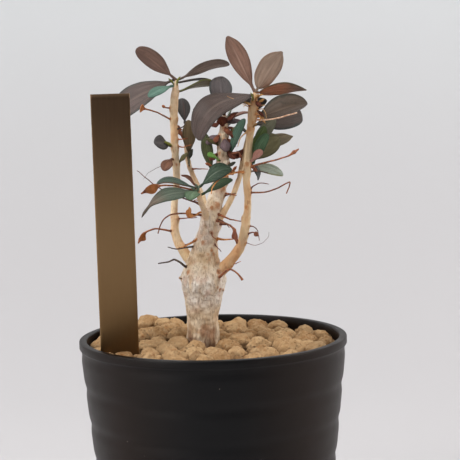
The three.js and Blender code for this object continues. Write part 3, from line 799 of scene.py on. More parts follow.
def stone_shape(rng, detail):
    """A lump of radius about 1: softly flattened on a few sides and wrinkled."""
    bpy.ops.mesh.primitive_ico_sphere_add(subdivisions=detail, radius=1)
    ball = bpy.context.object
    points = np.array([v.co[:] for v in ball.data.vertices])
    faces = [tuple(p.vertices) for p in ball.data.polygons]
    bpy.data.objects.remove(ball)
    for _ in range(FLAT_SIDES):
        way = unit(rng.normal(size=3))
        depth = rng.uniform(*FLAT_DEPTHS)
        over = points @ way - depth
        points -= np.where(over > 0, 0.9 * over, 0)[:, None] * way
    seed = Vector(rng.uniform(0, 90, 3))
    swell = [
        sum(proud * noise.noise(Vector(p) * close + seed) for close, proud in LUMPS)
        for p in points
    ]
    return points * (1 + np.array(swell))[:, None], faces


def lying(rng):
    """A random turn about the upright and a slight random tilt, as a matrix."""
    tilts = rng.normal(0, STONE_TILT), rng.normal(0, STONE_TILT)
    return np.array(Euler((*tilts, rng.uniform(0, 2 * math.pi))).to_matrix())


def make_stones():
    rng = np.random.default_rng(8)
    parts = []
    places, sizes = settled_stones()
    stones = [(place, size, FINE, 0) for place, size in zip(places, sizes)]
    for place, size in filling_stones(places, sizes):
        stones.append((place, size, PLAIN, FILLING_SHADE))
    for place, size, detail, shade in stones:
        points, faces = stone_shape(rng, detail)
        stretch = STONE_STRETCH * rng.uniform(0.94, 1.1, 3)
        points = (points * stretch) @ lying(rng).T * size + place
        points[:, 2] = np.maximum(points[:, 2], GRAVEL_LOW[2])
        # Painted shade on the lower part of each stone, where it meets its neighbours; the filling
        # stones deep in the gaps get at least FILLING_SHADE of it.
        low = smoothstep(place[2] + 0.6 * size, place[2] - 0.25 * size, points[:, 2])
        low = np.maximum(low, shade)
        parts.append((points, faces, {"tone": rng.uniform(0, 1), "low": low}))
    points, faces, attributes = joined(parts)
    stones = mesh_piece("top_stones", points, faces, clay_stone(), **attributes)
    finish_piece(stones, "gravel", "top_gravel")


def make_bed():
    """The mix between and under the top stones."""
    rows = [(0, GRAVEL_LOW[2]), (GRAVEL_RADIUS, GRAVEL_LOW[2])]
    rows += [(r, BED_TOP) for r in np.linspace(GRAVEL_RADIUS, 0, 60)]
    bed = lathe_piece("gravel_bed", rows, 160, potting_mix())
    for vertex in bed.data.vertices:
        if vertex.co.z > GRAVEL_LOW[2] + 0.1 * MM:
            grains = BED_GRAIN * noise.noise(vertex.co / (1.4 * MM))
            vertex.co.z += mound(np.array([vertex.co]))[0] + grains
    finish_piece(bed, "potting_mix")


# ---------------------------------------------------------------- label
LABEL_SIDES = 48
LABEL_CORNER = 0.16  # less than 1, and the smaller the squarer
LABEL_FACE = 0.5
WORN_FROM = 0.985  # the share of the half width where the worn edge starts


def label_rows():
    """The strip's stations as rows: middle, the way to its left edge and the way to its front."""
    middles, lefts, thins = [], [], []
    for ring in label_frame():
        middle = ring.mean(0)
        spread = ring - middle
        far = spread[np.argmax(np.linalg.norm(spread, axis=1))]
        mate = spread[np.argmax(-spread @ unit(far) + 1e-6 * spread[:, 2])]
        others = [c for c in spread if not (np.allclose(c, far) or np.allclose(c, mate))]
        side = min(others, key=lambda c: np.linalg.norm(c - far))
        left = (far + side) / 2
        thin = (far - side) / 2
        left = left if left[0] < 0 else -left
        thin = thin if thin[1] < 0 else -thin
        middles.append(middle)
        lefts.append(left)
        thins.append(thin)
    return spline(np.hstack([middles, lefts, thins]), 6)


def make_label():
    """The CAD strip's rings, rounded at the corners."""
    rows = label_rows()
    turn = np.linspace(0, 2 * math.pi, LABEL_SIDES, endpoint=False)
    x = np.sign(np.cos(turn)) * np.abs(np.cos(turn)) ** LABEL_CORNER
    y = np.sign(np.sin(turn)) * np.abs(np.sin(turn)) ** LABEL_FACE
    middle, left, thin = rows[:, None, :3], rows[:, None, 3:6], rows[:, None, 6:]
    grown = middle + x[None, :, None] * left + y[None, :, None] * thin
    points, faces = skinned(grown)
    along = np.append(np.repeat(np.linspace(0, 1, len(rows)), len(turn)), [0, 1])
    edge = np.append(np.tile(np.abs(x) > WORN_FROM, len(rows)), [1, 1])
    label = mesh_piece("label_strip", points, faces, bronze(), along=along, edge=edge)
    finish_piece(label, "label", "plant_label")


# ---------------------------------------------------------------- wood
YOUTH = {
    "caudex": 0.0,
    "right_stem": 1.0,
    "left_stem": 0.8,
    "front_shoot": 0.6,
    "fork_stem": 0.9,
    "rear_stem": 0.7,
}
GROUND = RIM_TOP - 2 * MM
VOXEL = 0.28 * MM
STEM_SIDES = 28
COLLAR = 0.2  # how much thicker a side stem is at its foot
COLLAR_REACH = 2.2 * MM
# The bark's unevenness: how proud, and how close across and along the stem.
BARK_GRAIN = ((0.4, 0.3, 0.3), (0.22, 0.75, 0.75), (0.16, 1.5, 0.25), (0.1, 3.6, 0.8))


def rooted(stem_name):
    """A side stem carried on into the caudex, with a collar where it comes out."""
    stem = STEMS[stem_name]
    if stem_name == "caudex":
        return stem
    trunk = STEMS["caudex"]
    foot = stem.centres[0]
    i = trunk.nearest(foot)
    way = unit(stem.centres[3] - foot)
    inner = trunk.centres[i] - UP * 1.5 * stem.radii[0]
    meet = foot - way * 0.4 * (np.linalg.norm(foot - inner))
    centres = np.vstack([inner, meet, stem.centres])
    near_foot = np.exp(-np.linalg.norm(stem.centres - foot, axis=1) / COLLAR_REACH)
    radii = np.concatenate([[1.15 * stem.radii[0]] * 2, stem.radii * (1 + COLLAR * near_foot)])
    return Stem(centres, radii)


# Marks on the bark of each stem: the height above the gravel and the turn from the front in
# degrees, then how wide and how proud the mark is and how dark its scar.
BARK_MARKS = {
    "caudex": [
        (24.2, -48, 1.3, -0.1, 0.9),
        (23.4, -44, 0.9, 0.15, 0.5),
        (24.0, 46, 1.3, -0.2, 1.0),
        (18.4, 52, 0.9, -0.15, 1.0),
        (18.9, 40, 0.7, 0.2, 0.7),
        (17.6, 62, 0.7, 0.2, 0.8),
        (31.7, 28, 1.0, 0.8, 0.75),
        (29.9, 38, 0.9, 0.6, 0.7),
        (30.2, 14, 0.8, 0.5, 0.6),
        (28.4, 22, 1.5, 0.2, 0.45),
        (34.2, -14, 1.4, 0.35, 0.7),
        (35.8, -18, 0.8, 0.6, 0.1),
        (39.4, 82, 1.6, 1.1, 0.65),
        (41.0, 48, 0.6, 0.1, 0.9),
        (46.5, 20, 1.7, 0.7, 0.7),
        (45.2, -8, 0.9, 0.5, 0.85),
        (44.0, -40, 1.3, 0.7, 0.6),
        (50.2, 64, 1.2, 0.8, 0.2),
        (51.8, 30, 1.3, 0.9, 0.8),
        (53.6, 80, 1.1, 0.8, 0.7),
        (53.0, -20, 1.2, 0.8, 0.5),
        (55.4, 50, 1.2, 0.9, 0.9),
        (57.2, 5, 1.1, 0.8, 0.6),
        (60.0, 60, 1.2, 0.8, 0.8),
        (63.5, -30, 1.1, 0.7, 0.7),
        (66.0, 40, 1.1, 0.8, 0.9),
        (21.5, -88, 0.5, 0.9, 1.0),
    ],
    "right_stem": [
        (45.9, -20, 1.0, 0.25, 0.75),
        (47.3, 30, 0.8, 0.2, 0.5),
        (59.9, -10, 1.2, 0.4, 0.75),
        (60.4, 60, 1.1, 0.4, 0.7),
        (71.6, -20, 1.0, 0.35, 0.7),
        (73.0, 20, 0.8, 0.25, 0.6),
        (57.0, -70, 1.0, 0.4, 0.7),
        (51.8, 80, 0.8, 0.5, 0.7),
        (42.4, -80, 1.1, 0.6, 0.7),
    ],
    "left_stem": [
        (41.4, 70, 1.2, 0.8, 0.6),
        (59.3, 10, 1.0, 0.4, 0.6),
        (66.0, 60, 1.0, 0.5, 0.7),
        (74.6, 50, 1.0, 0.5, 0.6),
        (79.0, -60, 1.0, 0.6, 0.7),
    ],
}


def on_bark(stem_name, height, turn):
    """The point on a stem's bark at a height above the gravel and a turn from the front."""
    stem = STEMS[stem_name]
    i = stem.at_height(GROUND + height * MM)
    angle = math.radians(turn)
    out = np.array([math.sin(angle), -math.cos(angle), 0.0])
    return stem.centres[i] + out * stem.radii[i], stem.centres[i], out


def bark_knobs(feet):
    """Small swellings and scars on the bark: (middle, radius, how proud, how dark)."""
    knobs = []
    for foot in feet:
        _, stem_name, i = nearest_stem(foot)
        stem = STEMS[stem_name]
        out = unit(foot - stem.centres[i])
        size = min(1.1 * MM, 0.7 * stem.radii[i] + 0.2 * MM)
        knobs.append((stem.centres[i] + out * stem.radii[i], size, 0.34 * size, 0.5))
    for stem_name, marks in BARK_MARKS.items():
        for height, turn, size, proud, dark in marks:
            middle, _, _ = on_bark(stem_name, height, turn)
            knobs.append((middle, size * MM, proud * MM, 0.8 * dark))
    for stem_name, stem in STEMS.items():
        start = max(stem.centres[0, 2], GROUND + 32 * MM)
        for _ in range(int((stem.centres[-1, 2] - start) / (3.5 * MM))):
            height = (RNG.uniform(start, stem.centres[-1, 2]) - GROUND) / MM
            middle, centre, _ = on_bark(stem_name, height, RNG.uniform(-180, 180))
            size = min(0.9 * MM, 0.5 * np.linalg.norm(middle - centre)) * RNG.uniform(0.7, 1.2)
            knobs.append((middle, size, 0.45 * size, RNG.choice([0.1, 0.3, 0.55])))
    return knobs


def remeshed_wood():
    """All the stems as one closed skin, smooth where they fork."""
    parts = []
    for stem_name in STEM_NODES:
        stem = rooted(stem_name)
        points, faces = skinned(tube_rings(stem.centres, stem.radii, STEM_SIDES))
        parts.append((points, faces, {}))
    points, faces, _ = joined(parts)
    wood = mesh_piece("woody_stems", points, faces, bark())
    remesh = wood.modifiers.new("one_skin", "REMESH")
    remesh.mode = "VOXEL"
    remesh.voxel_size = VOXEL
    smooth = wood.modifiers.new("soft_forks", "SMOOTH")
    smooth.factor = 0.5
    smooth.iterations = 8
    modified_mesh(wood)
    return wood


def vertex_values(mesh, key):
    """The places or normals of a mesh's points, as rows of three numbers."""
    values = np.empty(len(mesh.vertices) * 3)
    mesh.vertices.foreach_get(key, values)
    return values.reshape(-1, 3)


def age_and_girth(points):
    """How young the stem nearest to each point is, from 0 to 1, and its radius there."""
    nearest = np.full(len(points), np.inf)
    youth, girth = np.zeros(len(points)), np.zeros(len(points))
    for stem_name in STEM_NODES:
        stem = rooted(stem_name)
        for centre, radius in zip(stem.centres, stem.radii):
            gap = np.linalg.norm(points - centre, axis=1) - radius
            closer = gap < nearest
            nearest[closer] = gap[closer]
            youth[closer] = YOUTH[stem_name]
            girth[closer] = radius
    ageing = 0.35 * smoothstep(30 * MM, 50 * MM, points[:, 2] - GROUND)
    return np.where(youth > 0, youth, ageing), girth


def knobs_and_scars(points, feet):
    """How far the marks on the bark raise each point, and how dark they make it."""
    swell, scar = np.zeros(len(points)), np.zeros(len(points))
    for centre, size, rise, dark in bark_knobs(feet):
        near = np.where(np.abs(points - centre).max(1) < 3.2 * size)[0]
        gap = (points[near] - centre) / size
        gap[:, 2] *= np.where(gap[:, 2] < 0, 0.6, 1.0)
        share = (gap**2).sum(1)
        bump = rise * np.exp(-1.1 * share)
        swell[near] = np.where(np.abs(bump) > np.abs(swell[near]), bump, swell[near])
        scar[near] = np.maximum(scar[near], dark * np.exp(-1.7 * share))
    return swell, scar


def bark_grain(point):
    """How uneven the bark is at a point."""
    x, y, z = Vector(point / MM)
    layers = (
        proud * noise.noise(Vector((x * across, y * across, z * along)))
        for proud, across, along in BARK_GRAIN
    )
    return sum(layers)


def make_wood(feet):
    """All the stems as one skin with uneven bark, knobs and scars."""
    wood = remeshed_wood()
    mesh = wood.data
    points = vertex_values(mesh, "co")
    height = points[:, 2] - GROUND
    youth, girth = age_and_girth(points)
    swell, scar = knobs_and_scars(points, feet)
    grain = np.array([bark_grain(point) for point in points])
    swell += grain * MM * np.clip(girth / (5 * MM), 0.25, 1)
    points += vertex_values(mesh, "normal") * swell[:, None]
    mesh.vertices.foreach_set("co", points.ravel())
    middle = smoothstep(9 * MM, 15 * MM, height) * smoothstep(27 * MM, 20 * MM, height)
    chalky = np.maximum(middle, 0.8 * smoothstep(30 * MM, 36 * MM, height)) * (1 - youth)
    # Where the trunk is marked darker brown: low down by the gravel, most on its front.
    in_front = smoothstep(0, -4 * MM, points[:, 1] - 2 * MM)
    damp = smoothstep(9 * MM, 1 * MM, height) * (0.35 + 0.65 * in_front)
    set_attributes(mesh, youth=youth, scar=scar, chalky=chalky, damp=damp)
    mesh.polygons.foreach_set("use_smooth", [True] * len(mesh.polygons))
    mesh.update()
    finish_piece(wood, "bark", *STEM_NODES)


# ---------------------------------------------------------------- leaves
def leaf_look(face, edge, rib, gloss=0.42, tip=None):
    tones = {"face": face, "edge": edge, "rib": rib, "tip": tip or face}
    return {key: rgb(*tone) for key, tone in tones.items()} | {"gloss": gloss}


# The face, margin and midrib of each leaf in screen colours, how matt it is and its tip's colour.
LEAF_TONES = {
    "right_tall": ((142, 108, 92), (114, 84, 70), (190, 158, 140)),
    "right_upright": ((166, 142, 124), (134, 108, 90), (192, 166, 148)),
    "right_level": ((176, 112, 80), (72, 72, 52), (196, 144, 112), 0.42, (128, 102, 88)),
    "right_broad": ((76, 62, 57), (56, 46, 41), (112, 96, 86), 0.45),
    "right_rolled": ((112, 98, 86), (50, 52, 44), (150, 132, 112), 0.34),
    "right_back": ((48, 46, 44), (36, 40, 34), (70, 64, 58)),
    "fork_far": ((70, 58, 52), (40, 48, 46), (102, 88, 78), 0.42),
    "fork_bright": ((66, 84, 34), (44, 62, 24), (96, 116, 60)),
    "fork_tall": ((112, 112, 92), (84, 86, 66), (140, 140, 118)),
    "fork_olive": ((110, 104, 72), (76, 72, 50), (136, 128, 96)),
    "fork_point": ((128, 114, 88), (108, 96, 70), (150, 138, 110)),
    "fork_silver": ((166, 176, 160), (136, 134, 84), (190, 196, 182)),
    "right_green": ((74, 104, 74), (52, 78, 54), (108, 138, 104)),
    "right_pink": ((202, 148, 134), (180, 122, 104), (222, 178, 164)),
    "right_dark": ((52, 54, 52), (38, 40, 38), (80, 80, 74)),
    "middle_round": ((72, 64, 64), (38, 44, 42), (108, 100, 100), 0.34),
    "middle_pale": ((166, 176, 160), (120, 130, 112), (196, 204, 188)),
    "middle_red": ((126, 80, 60), (92, 56, 42), (160, 110, 84)),
    "middle_left": ((84, 74, 70), (60, 54, 48), (112, 100, 92)),
    "middle_back": ((90, 86, 80), (62, 62, 54), (118, 112, 104)),
    "middle_green": ((74, 102, 86), (48, 70, 56), (106, 134, 114)),
    "middle_bright": ((118, 168, 78), (92, 140, 56), (158, 200, 116)),
    "middle_hanging": ((76, 80, 48), (54, 58, 36), (110, 116, 78)),
    "rear_dark": ((74, 72, 72), (50, 54, 50), (120, 80, 74)),
    "rear_olive": ((116, 98, 70), (84, 74, 50), (140, 122, 92)),
    "rear_brown": ((140, 92, 70), (110, 66, 48), (170, 122, 96)),
    "rear_far": ((92, 84, 70), (66, 62, 48), (120, 110, 92)),
    "front_dark": ((56, 76, 58), (34, 50, 38), (140, 150, 132), 0.4),
    "front_under": ((76, 98, 70), (54, 72, 48), (112, 130, 100)),
    "front_level": ((76, 94, 82), (110, 74, 54), (110, 128, 112)),
    "front_long": ((86, 98, 84), (62, 76, 62), (134, 142, 126), 0.42, (136, 118, 104)),
    "front_small": ((100, 124, 96), (74, 98, 70), (140, 160, 132)),
    "left_up": ((130, 102, 90), (100, 78, 68), (162, 126, 110)),
    "left_across": ((128, 110, 100), (94, 82, 72), (152, 134, 122)),
    "left_broad": ((94, 80, 76), (70, 72, 68), (122, 106, 98), 0.5),
    "left_teal": ((100, 134, 120), (74, 106, 94), (134, 164, 150)),
    "left_low": ((92, 82, 56), (120, 122, 62), (130, 118, 82)),
    "left_behind": ((94, 80, 74), (70, 62, 54), (122, 106, 96)),
    "left_round": ((84, 80, 80), (56, 58, 54), (112, 104, 100)),
    "left_russet": ((130, 90, 70), (104, 68, 48), (164, 122, 96)),
}
LEAF_LOOKS = {"leaf_" + name: leaf_look(*tones) for name, tones in LEAF_TONES.items()}

LEAF_STEPS = 6  # points for each span between a leaf's stations
SECTION = 24
PETIOLE = 0.5 * MM
STALK_STEPS = 5
ROUNDED_STEPS = 8  # in which the blade thins out to its tip
RIB_WIDTH = 0.12  # as a share of the half width


def leaf_rows(node):
    """A leaf's stations as rows: middle, left margin and right margin, and the upper side's way."""
    rings = from_the_foot(rings_of(node))
    rows, across = [], None
    for ring in rings[1:-1]:
        gaps = np.linalg.norm(ring[:, None] - ring[None], axis=2)
        a, b = np.unravel_index(np.argmax(gaps), gaps.shape)
        way = unit(ring[a] - ring[b])
        if across is not None and way.dot(across) < 0:
            a, b, way = b, a, -way
        across = way
        rest = [k for k in range(len(ring)) if k not in (a, b)]
        aside = np.abs((ring[rest] - (ring[a] + ring[b]) / 2) @ way)
        middle = ring[[rest[k] for k in np.argsort(aside)[:2]]].mean(0)
        rows.append(np.concatenate([middle, ring[a], ring[b]]))
    foot, tip = rings[0][0], rings[-1][0]
    rows = np.array([np.tile(foot, 3), *rows, np.tile(tip, 3)])
    widest = int(np.argmax(np.linalg.norm(rows[:, 3:6] - rows[:, 6:9], axis=1)))
    rise = (rows[widest, 3:6] + rows[widest, 6:9]) / 2 - rows[widest, :3]
    along = rows[widest + 1, :3] - rows[widest - 1, :3]
    up = np.cross(along, rows[widest, 3:6] - rows[widest, 6:9])
    return rows if up.dot(rise) > 0 else rows[:, [0, 1, 2, 6, 7, 8, 3, 4, 5]]


def leaf_mesh(rows, root, seed, wave=0.1, thickness=0.34 * MM, petiole=PETIOLE):
    """A fleshy, slightly wavy blade over its stations, on a short round stalk from root."""
    middle = spline(rows[:, :3], LEAF_STEPS)
    spread = rows[:, 3:6] - rows[:, 6:9]
    ways = unit(spline(np.vstack([spread[1], spread[1:-1], spread[-2]]), LEAF_STEPS))
    half = np.linalg.norm(spread, axis=1) / 2
    half = np.sqrt(np.maximum(spline(half**2, LEAF_STEPS), (0.06 * MM) ** 2))
    margins = (rows[:, 3:6] + rows[:, 6:9]) / 2
    lift = spline(np.linalg.norm(margins - rows[:, :3], axis=1), LEAF_STEPS)
    stalk = np.linspace(root, middle[0], STALK_STEPS + 1)[:-1]
    middle = np.vstack([stalk, middle])
    ways = np.vstack([np.tile(ways[0], (STALK_STEPS, 1)), ways])
    half = np.concatenate([np.full(STALK_STEPS, petiole), half])
    lift = np.concatenate([np.zeros(STALK_STEPS), lift])
    half[: STALK_STEPS + 4] = np.maximum(half[: STALK_STEPS + 4], petiole)
    tangents = unit(np.gradient(middle, axis=0))
    up = unit(np.cross(tangents, ways))
    along = np.linspace(0, 1, len(middle))

    turn = np.linspace(0, 2 * math.pi, SECTION, endpoint=False)
    x, top = np.cos(turn), np.sin(turn)
    thin = np.minimum(thickness, half * 0.9)
    rounding = thickness * np.sqrt(np.linspace(1, 0.1, ROUNDED_STEPS))
    thin[-ROUNDED_STEPS:] = np.minimum(thin[-ROUNDED_STEPS:], rounding)
    phase, ripples = seed * 2.1, 1.3 + 0.5 * math.sin(seed)
    waves = wave * half * np.sin(2 * math.pi * ripples * along + phase)
    waves *= smoothstep(0.2, 0.5, along)
    rib = np.exp(-((x / RIB_WIDTH) ** 2)) * np.abs(top)
    rise = (
        lift[:, None] * np.abs(x) ** 1.6
        + waves[:, None] * (x * np.abs(x))
        + thin[:, None] * np.sign(top) * np.abs(top) ** 0.8
        - 0.3 * thin[:, None] * rib * smoothstep(0.1, 0.25, along)[:, None]
    )
    rings = (
        middle[:, None]
        + (half[:, None] * x)[:, :, None] * ways[:, None]
        + rise[:, :, None] * up[:, None]
    )
    points, faces = skinned(rings)
    reach = np.append(np.repeat(along, SECTION), [0, 1])
    aside = np.append(np.tile(x, len(middle)), [0, 0])
    return points, faces, {"along": reach, "across": aside}


def make_leaves():
    """One smooth leaf for each CAD leaf. Gives back where each leaves its stem."""
    feet = []
    for number, (node, look) in enumerate(LEAF_LOOKS.items()):
        rows = leaf_rows(node)
        foot = rows[0, :3]
        feet.append(foot)
        points, faces, attributes = leaf_mesh(rows, root_in_stem(foot), number)
        skin = leaf_skin(node + "_skin", **look)
        leaf = mesh_piece(node + "_blade", points, faces, skin, **attributes)
        finish_piece(leaf, "leaf", node)
    return feet


def sprout_rows(foot, tip, width, face, curl):
    """Stations of a small leaf from foot to tip, like those of a CAD leaf."""
    reach = tip - foot
    across = unit(np.cross(reach, face))
    up = unit(np.cross(across, reach))
    rows = []
    for t in np.linspace(0, 1, SPROUT_STATIONS):
        half = width / 2 * math.sin(math.pi * t**1.3) ** 0.7 if 0 < t < 1 else 0
        middle = foot + reach * t + up * curl * np.linalg.norm(reach) * 4 * t * (1 - t)
        lifted = middle + up * 0.3 * half
        rows.append(np.concatenate([middle, lifted + across * half, lifted - across * half]))
    return np.array(rows)


SPROUT_STATIONS = 7
SPROUT_CURL = 0.14
SPROUT_THICKNESS = 0.2 * MM
SPROUT_PETIOLE = 0.25 * MM
SPROUT_LOOKS = {
    "yellow_green": leaf_look((128, 130, 52), (96, 100, 36), (166, 168, 84)),
    "olive": leaf_look((98, 92, 56), (70, 66, 40), (128, 120, 78)),
    "dark": leaf_look((56, 58, 46), (40, 42, 34), (86, 88, 70)),
    "grey_green": leaf_look((128, 146, 126), (98, 116, 100), (206, 212, 200)),
    "russet": leaf_look((142, 82, 56), (98, 52, 36), (186, 122, 84), 0.6),
    "dried": leaf_look((98, 48, 32), (58, 28, 20), (150, 88, 56), 0.6),
    "straw": leaf_look((196, 148, 90), (150, 100, 54), (226, 190, 136), 0.7),
    "plum": leaf_look((110, 90, 94), (70, 54, 54), (146, 124, 124), 0.5),
}
# Small leaves and buds that the CAD leaves out: the stem, the height above the gravel, the way
# from its bark to the tip, the width and the look.
SPROUTS = [
    ("left_stem", 65.4, (-2.6, -2.6, 1.6), 2.8, "yellow_green"),
    ("left_stem", 60.2, (3.2, -1.2, 3.6), 3.0, "olive"),
    ("left_stem", 86.6, (1.2, -1.6, 3.0), 1.4, "yellow_green"),
    ("left_stem", 86.0, (-1.8, -1.4, 2.4), 1.3, "yellow_green"),
    ("rear_stem", 58.4, (-0.6, -2.4, 3.8), 3.0, "olive"),
    ("rear_stem", 61.0, (1.4, -2.0, 4.0), 2.8, "dark"),
    ("rear_stem", 64.4, (2.6, -1.4, 3.4), 2.8, "dark"),
    ("rear_stem", 68.0, (-2.6, -1.0, 3.8), 2.6, "russet"),
    ("right_stem", 80.6, (-0.8, -1.8, 2.8), 1.4, "yellow_green"),
    ("right_stem", 80.2, (1.0, -1.7, 2.4), 1.4, "straw"),
    ("right_stem", 79.0, (2.4, -1.3, 1.6), 1.6, "straw"),
    ("right_stem", 78.0, (-1.9, -1.4, 1.6), 1.6, "russet"),
    ("right_stem", 77.6, (2.2, -1.6, -2.2), 1.4, "dried"),
    ("right_stem", 76.8, (2.6, -0.6, -3.4), 1.6, "straw"),
    ("right_stem", 71.0, (1.3, -1.5, 1.6), 1.2, "straw"),
    ("right_stem", 59.0, (2.0, -0.4, -1.8), 1.6, "russet"),
    ("front_shoot", 51.0, (-1.8, -1.2, 1.8), 1.4, "grey_green"),
    ("front_shoot", 51.4, (0.6, -1.6, 2.0), 1.5, "grey_green"),
    ("front_shoot", 51.6, (-0.6, -1.6, 2.6), 1.2, "grey_green"),
    ("front_shoot", 50.2, (-2.4, -1.8, -0.6), 1.4, "dried"),
    ("fork_stem", 60.6, (-1.6, -2.2, 3.4), 2.6, "russet"),
    ("fork_stem", 58.6, (2.2, -2.0, 1.8), 2.4, "yellow_green"),
    ("fork_stem", 69.4, (-3.0, -2.0, 2.6), 3.0, "dark"),
    ("fork_stem", 64.4, (-2.6, -1.6, -3.0), 2.6, "dried"),
    ("right_stem", 81.4, (2.2, -1.6, 1.2), 2.2, "straw"),
    ("right_stem", 79.8, (-2.6, -1.6, 0.6), 2.2, "straw"),
    ("right_stem", 80.6, (1.4, -2.0, -1.8), 2.0, "dried"),
    ("caudex", 76.0, (0.6, -2.4, 5.0), 3.0, "dried"),
    ("caudex", 74.8, (-4.2, -2.8, 3.4), 3.4, "dried"),
    ("caudex", 73.8, (4.0, -3.0, 3.6), 3.2, "dried"),
    ("caudex", 72.8, (4.8, -1.6, 0.6), 3.2, "plum"),
    ("caudex", 72.0, (-0.8, -4.0, 3.6), 3.8, "dried"),
    ("caudex", 70.4, (3.2, -3.6, -2.2), 3.4, "dried"),
    ("caudex", 69.4, (-4.4, -2.4, -2.8), 3.8, "plum"),
    ("caudex", 69.0, (4.4, -2.0, 2.8), 3.4, "olive"),
    ("caudex", 67.4, (0.6, -3.6, -4.2), 3.8, "plum"),
    ("caudex", 65.8, (-4.0, -2.6, 2.6), 3.4, "olive"),
    ("caudex", 64.4, (2.6, -3.2, -3.2), 3.2, "dried"),
    ("caudex", 62.0, (3.4, -2.6, 1.2), 3.0, "russet"),
    ("caudex", 75.4, (-1.6, -2.4, 2.8), 2.6, "dried"),
    ("caudex", 74.6, (2.8, -2.2, 1.6), 2.6, "dried"),
    ("caudex", 73.2, (-3.4, -1.8, -1.0), 2.8, "dried"),
    ("caudex", 72.4, (1.0, -3.0, -2.4), 2.4, "russet"),
    ("caudex", 71.4, (3.6, -1.2, -1.8), 3.0, "dried"),
    ("caudex", 69.8, (-2.6, -2.4, -2.6), 2.6, "russet"),
    ("caudex", 68.4, (2.6, -2.4, -2.8), 2.6, "dried"),
    ("caudex", 66.6, (-3.2, -1.4, 1.6), 3.0, "olive"),
    ("caudex", 65.0, (3.2, -1.8, 2.2), 2.6, "russet"),
    ("caudex", 63.4, (-2.8, -2.0, -2.4), 2.2, "dried"),
    ("caudex", 59.2, (2.8, -2.2, 1.4), 3.2, "dark"),
    ("caudex", 57.4, (2.4, -2.8, -1.4), 2.2, "russet"),
    ("caudex", 55.8, (3.0, -2.2, 0.6), 2.0, "straw"),
    ("caudex", 54.0, (-1.8, -2.6, 1.2), 1.8, "russet"),
]


def make_sprouts():
    """Small leaves, buds and dead leaf ends. Gives back where they leave their stems."""
    batches, feet = {}, []
    for number, (stem_name, height, way, width, look) in enumerate(SPROUTS):
        turn = math.degrees(math.atan2(way[0], -way[1]))
        foot, centre, _ = on_bark(stem_name, height, turn)
        feet.append(foot)
        tip = foot + np.array(way) * MM
        face = np.array([0.2 * math.sin(5 * number), -0.6, 1.0])
        rows = sprout_rows(foot, tip, width * MM, face, SPROUT_CURL)
        lively = 0.3 if look in ("dried", "russet", "straw") else 0.1
        blade = leaf_mesh(rows, centre, number, lively, SPROUT_THICKNESS, SPROUT_PETIOLE)
        batches.setdefault(look, []).append(blade)
    for look, batch in batches.items():
        points, faces, attributes = joined(batch)
        skin = leaf_skin(look + "_sprout_skin", **SPROUT_LOOKS[look])
        piece = mesh_piece(look + "_sprouts", points, faces, skin, **attributes)
        finish_piece(piece, "leaf")
    return feet


# ---------------------------------------------------------------- dried stalks
STALK_NODES = sorted(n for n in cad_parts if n.startswith("spine_"))
STALK_SIDES = 14
FINE_SIDES = 10
STALK_WOBBLE = 0.12 * MM
FINE_WOBBLE = 0.16 * MM


def stalk_mesh(centres, radii, sides):
    """A thin stalk that may end in a flattened, curled dead leaf where it is thick."""
    _, side, across = turning_frames(centres)
    leafy = smoothstep(0.55 * MM, 0.95 * MM, radii)
    leafy[: len(leafy) // 3] = 0
    turn = np.linspace(0, 2 * math.pi, sides, endpoint=False)
    x, y = np.cos(turn), np.sin(turn)
    wide = radii * (1 + 0.5 * leafy)
    thin = radii * (1 - 0.72 * leafy)
    curl = 0.55 * leafy * wide
    bow = curl[:, None] * x**2
    rings = (
        centres[:, None]
        + (wide[:, None] * x)[:, :, None] * side[:, None]
        + (thin[:, None] * y + bow)[:, :, None] * across[:, None]
    )
    points, faces = skinned(rings)
    return points, faces, {"leafy": np.append(np.repeat(leafy, sides), leafy[[0, -1]])}


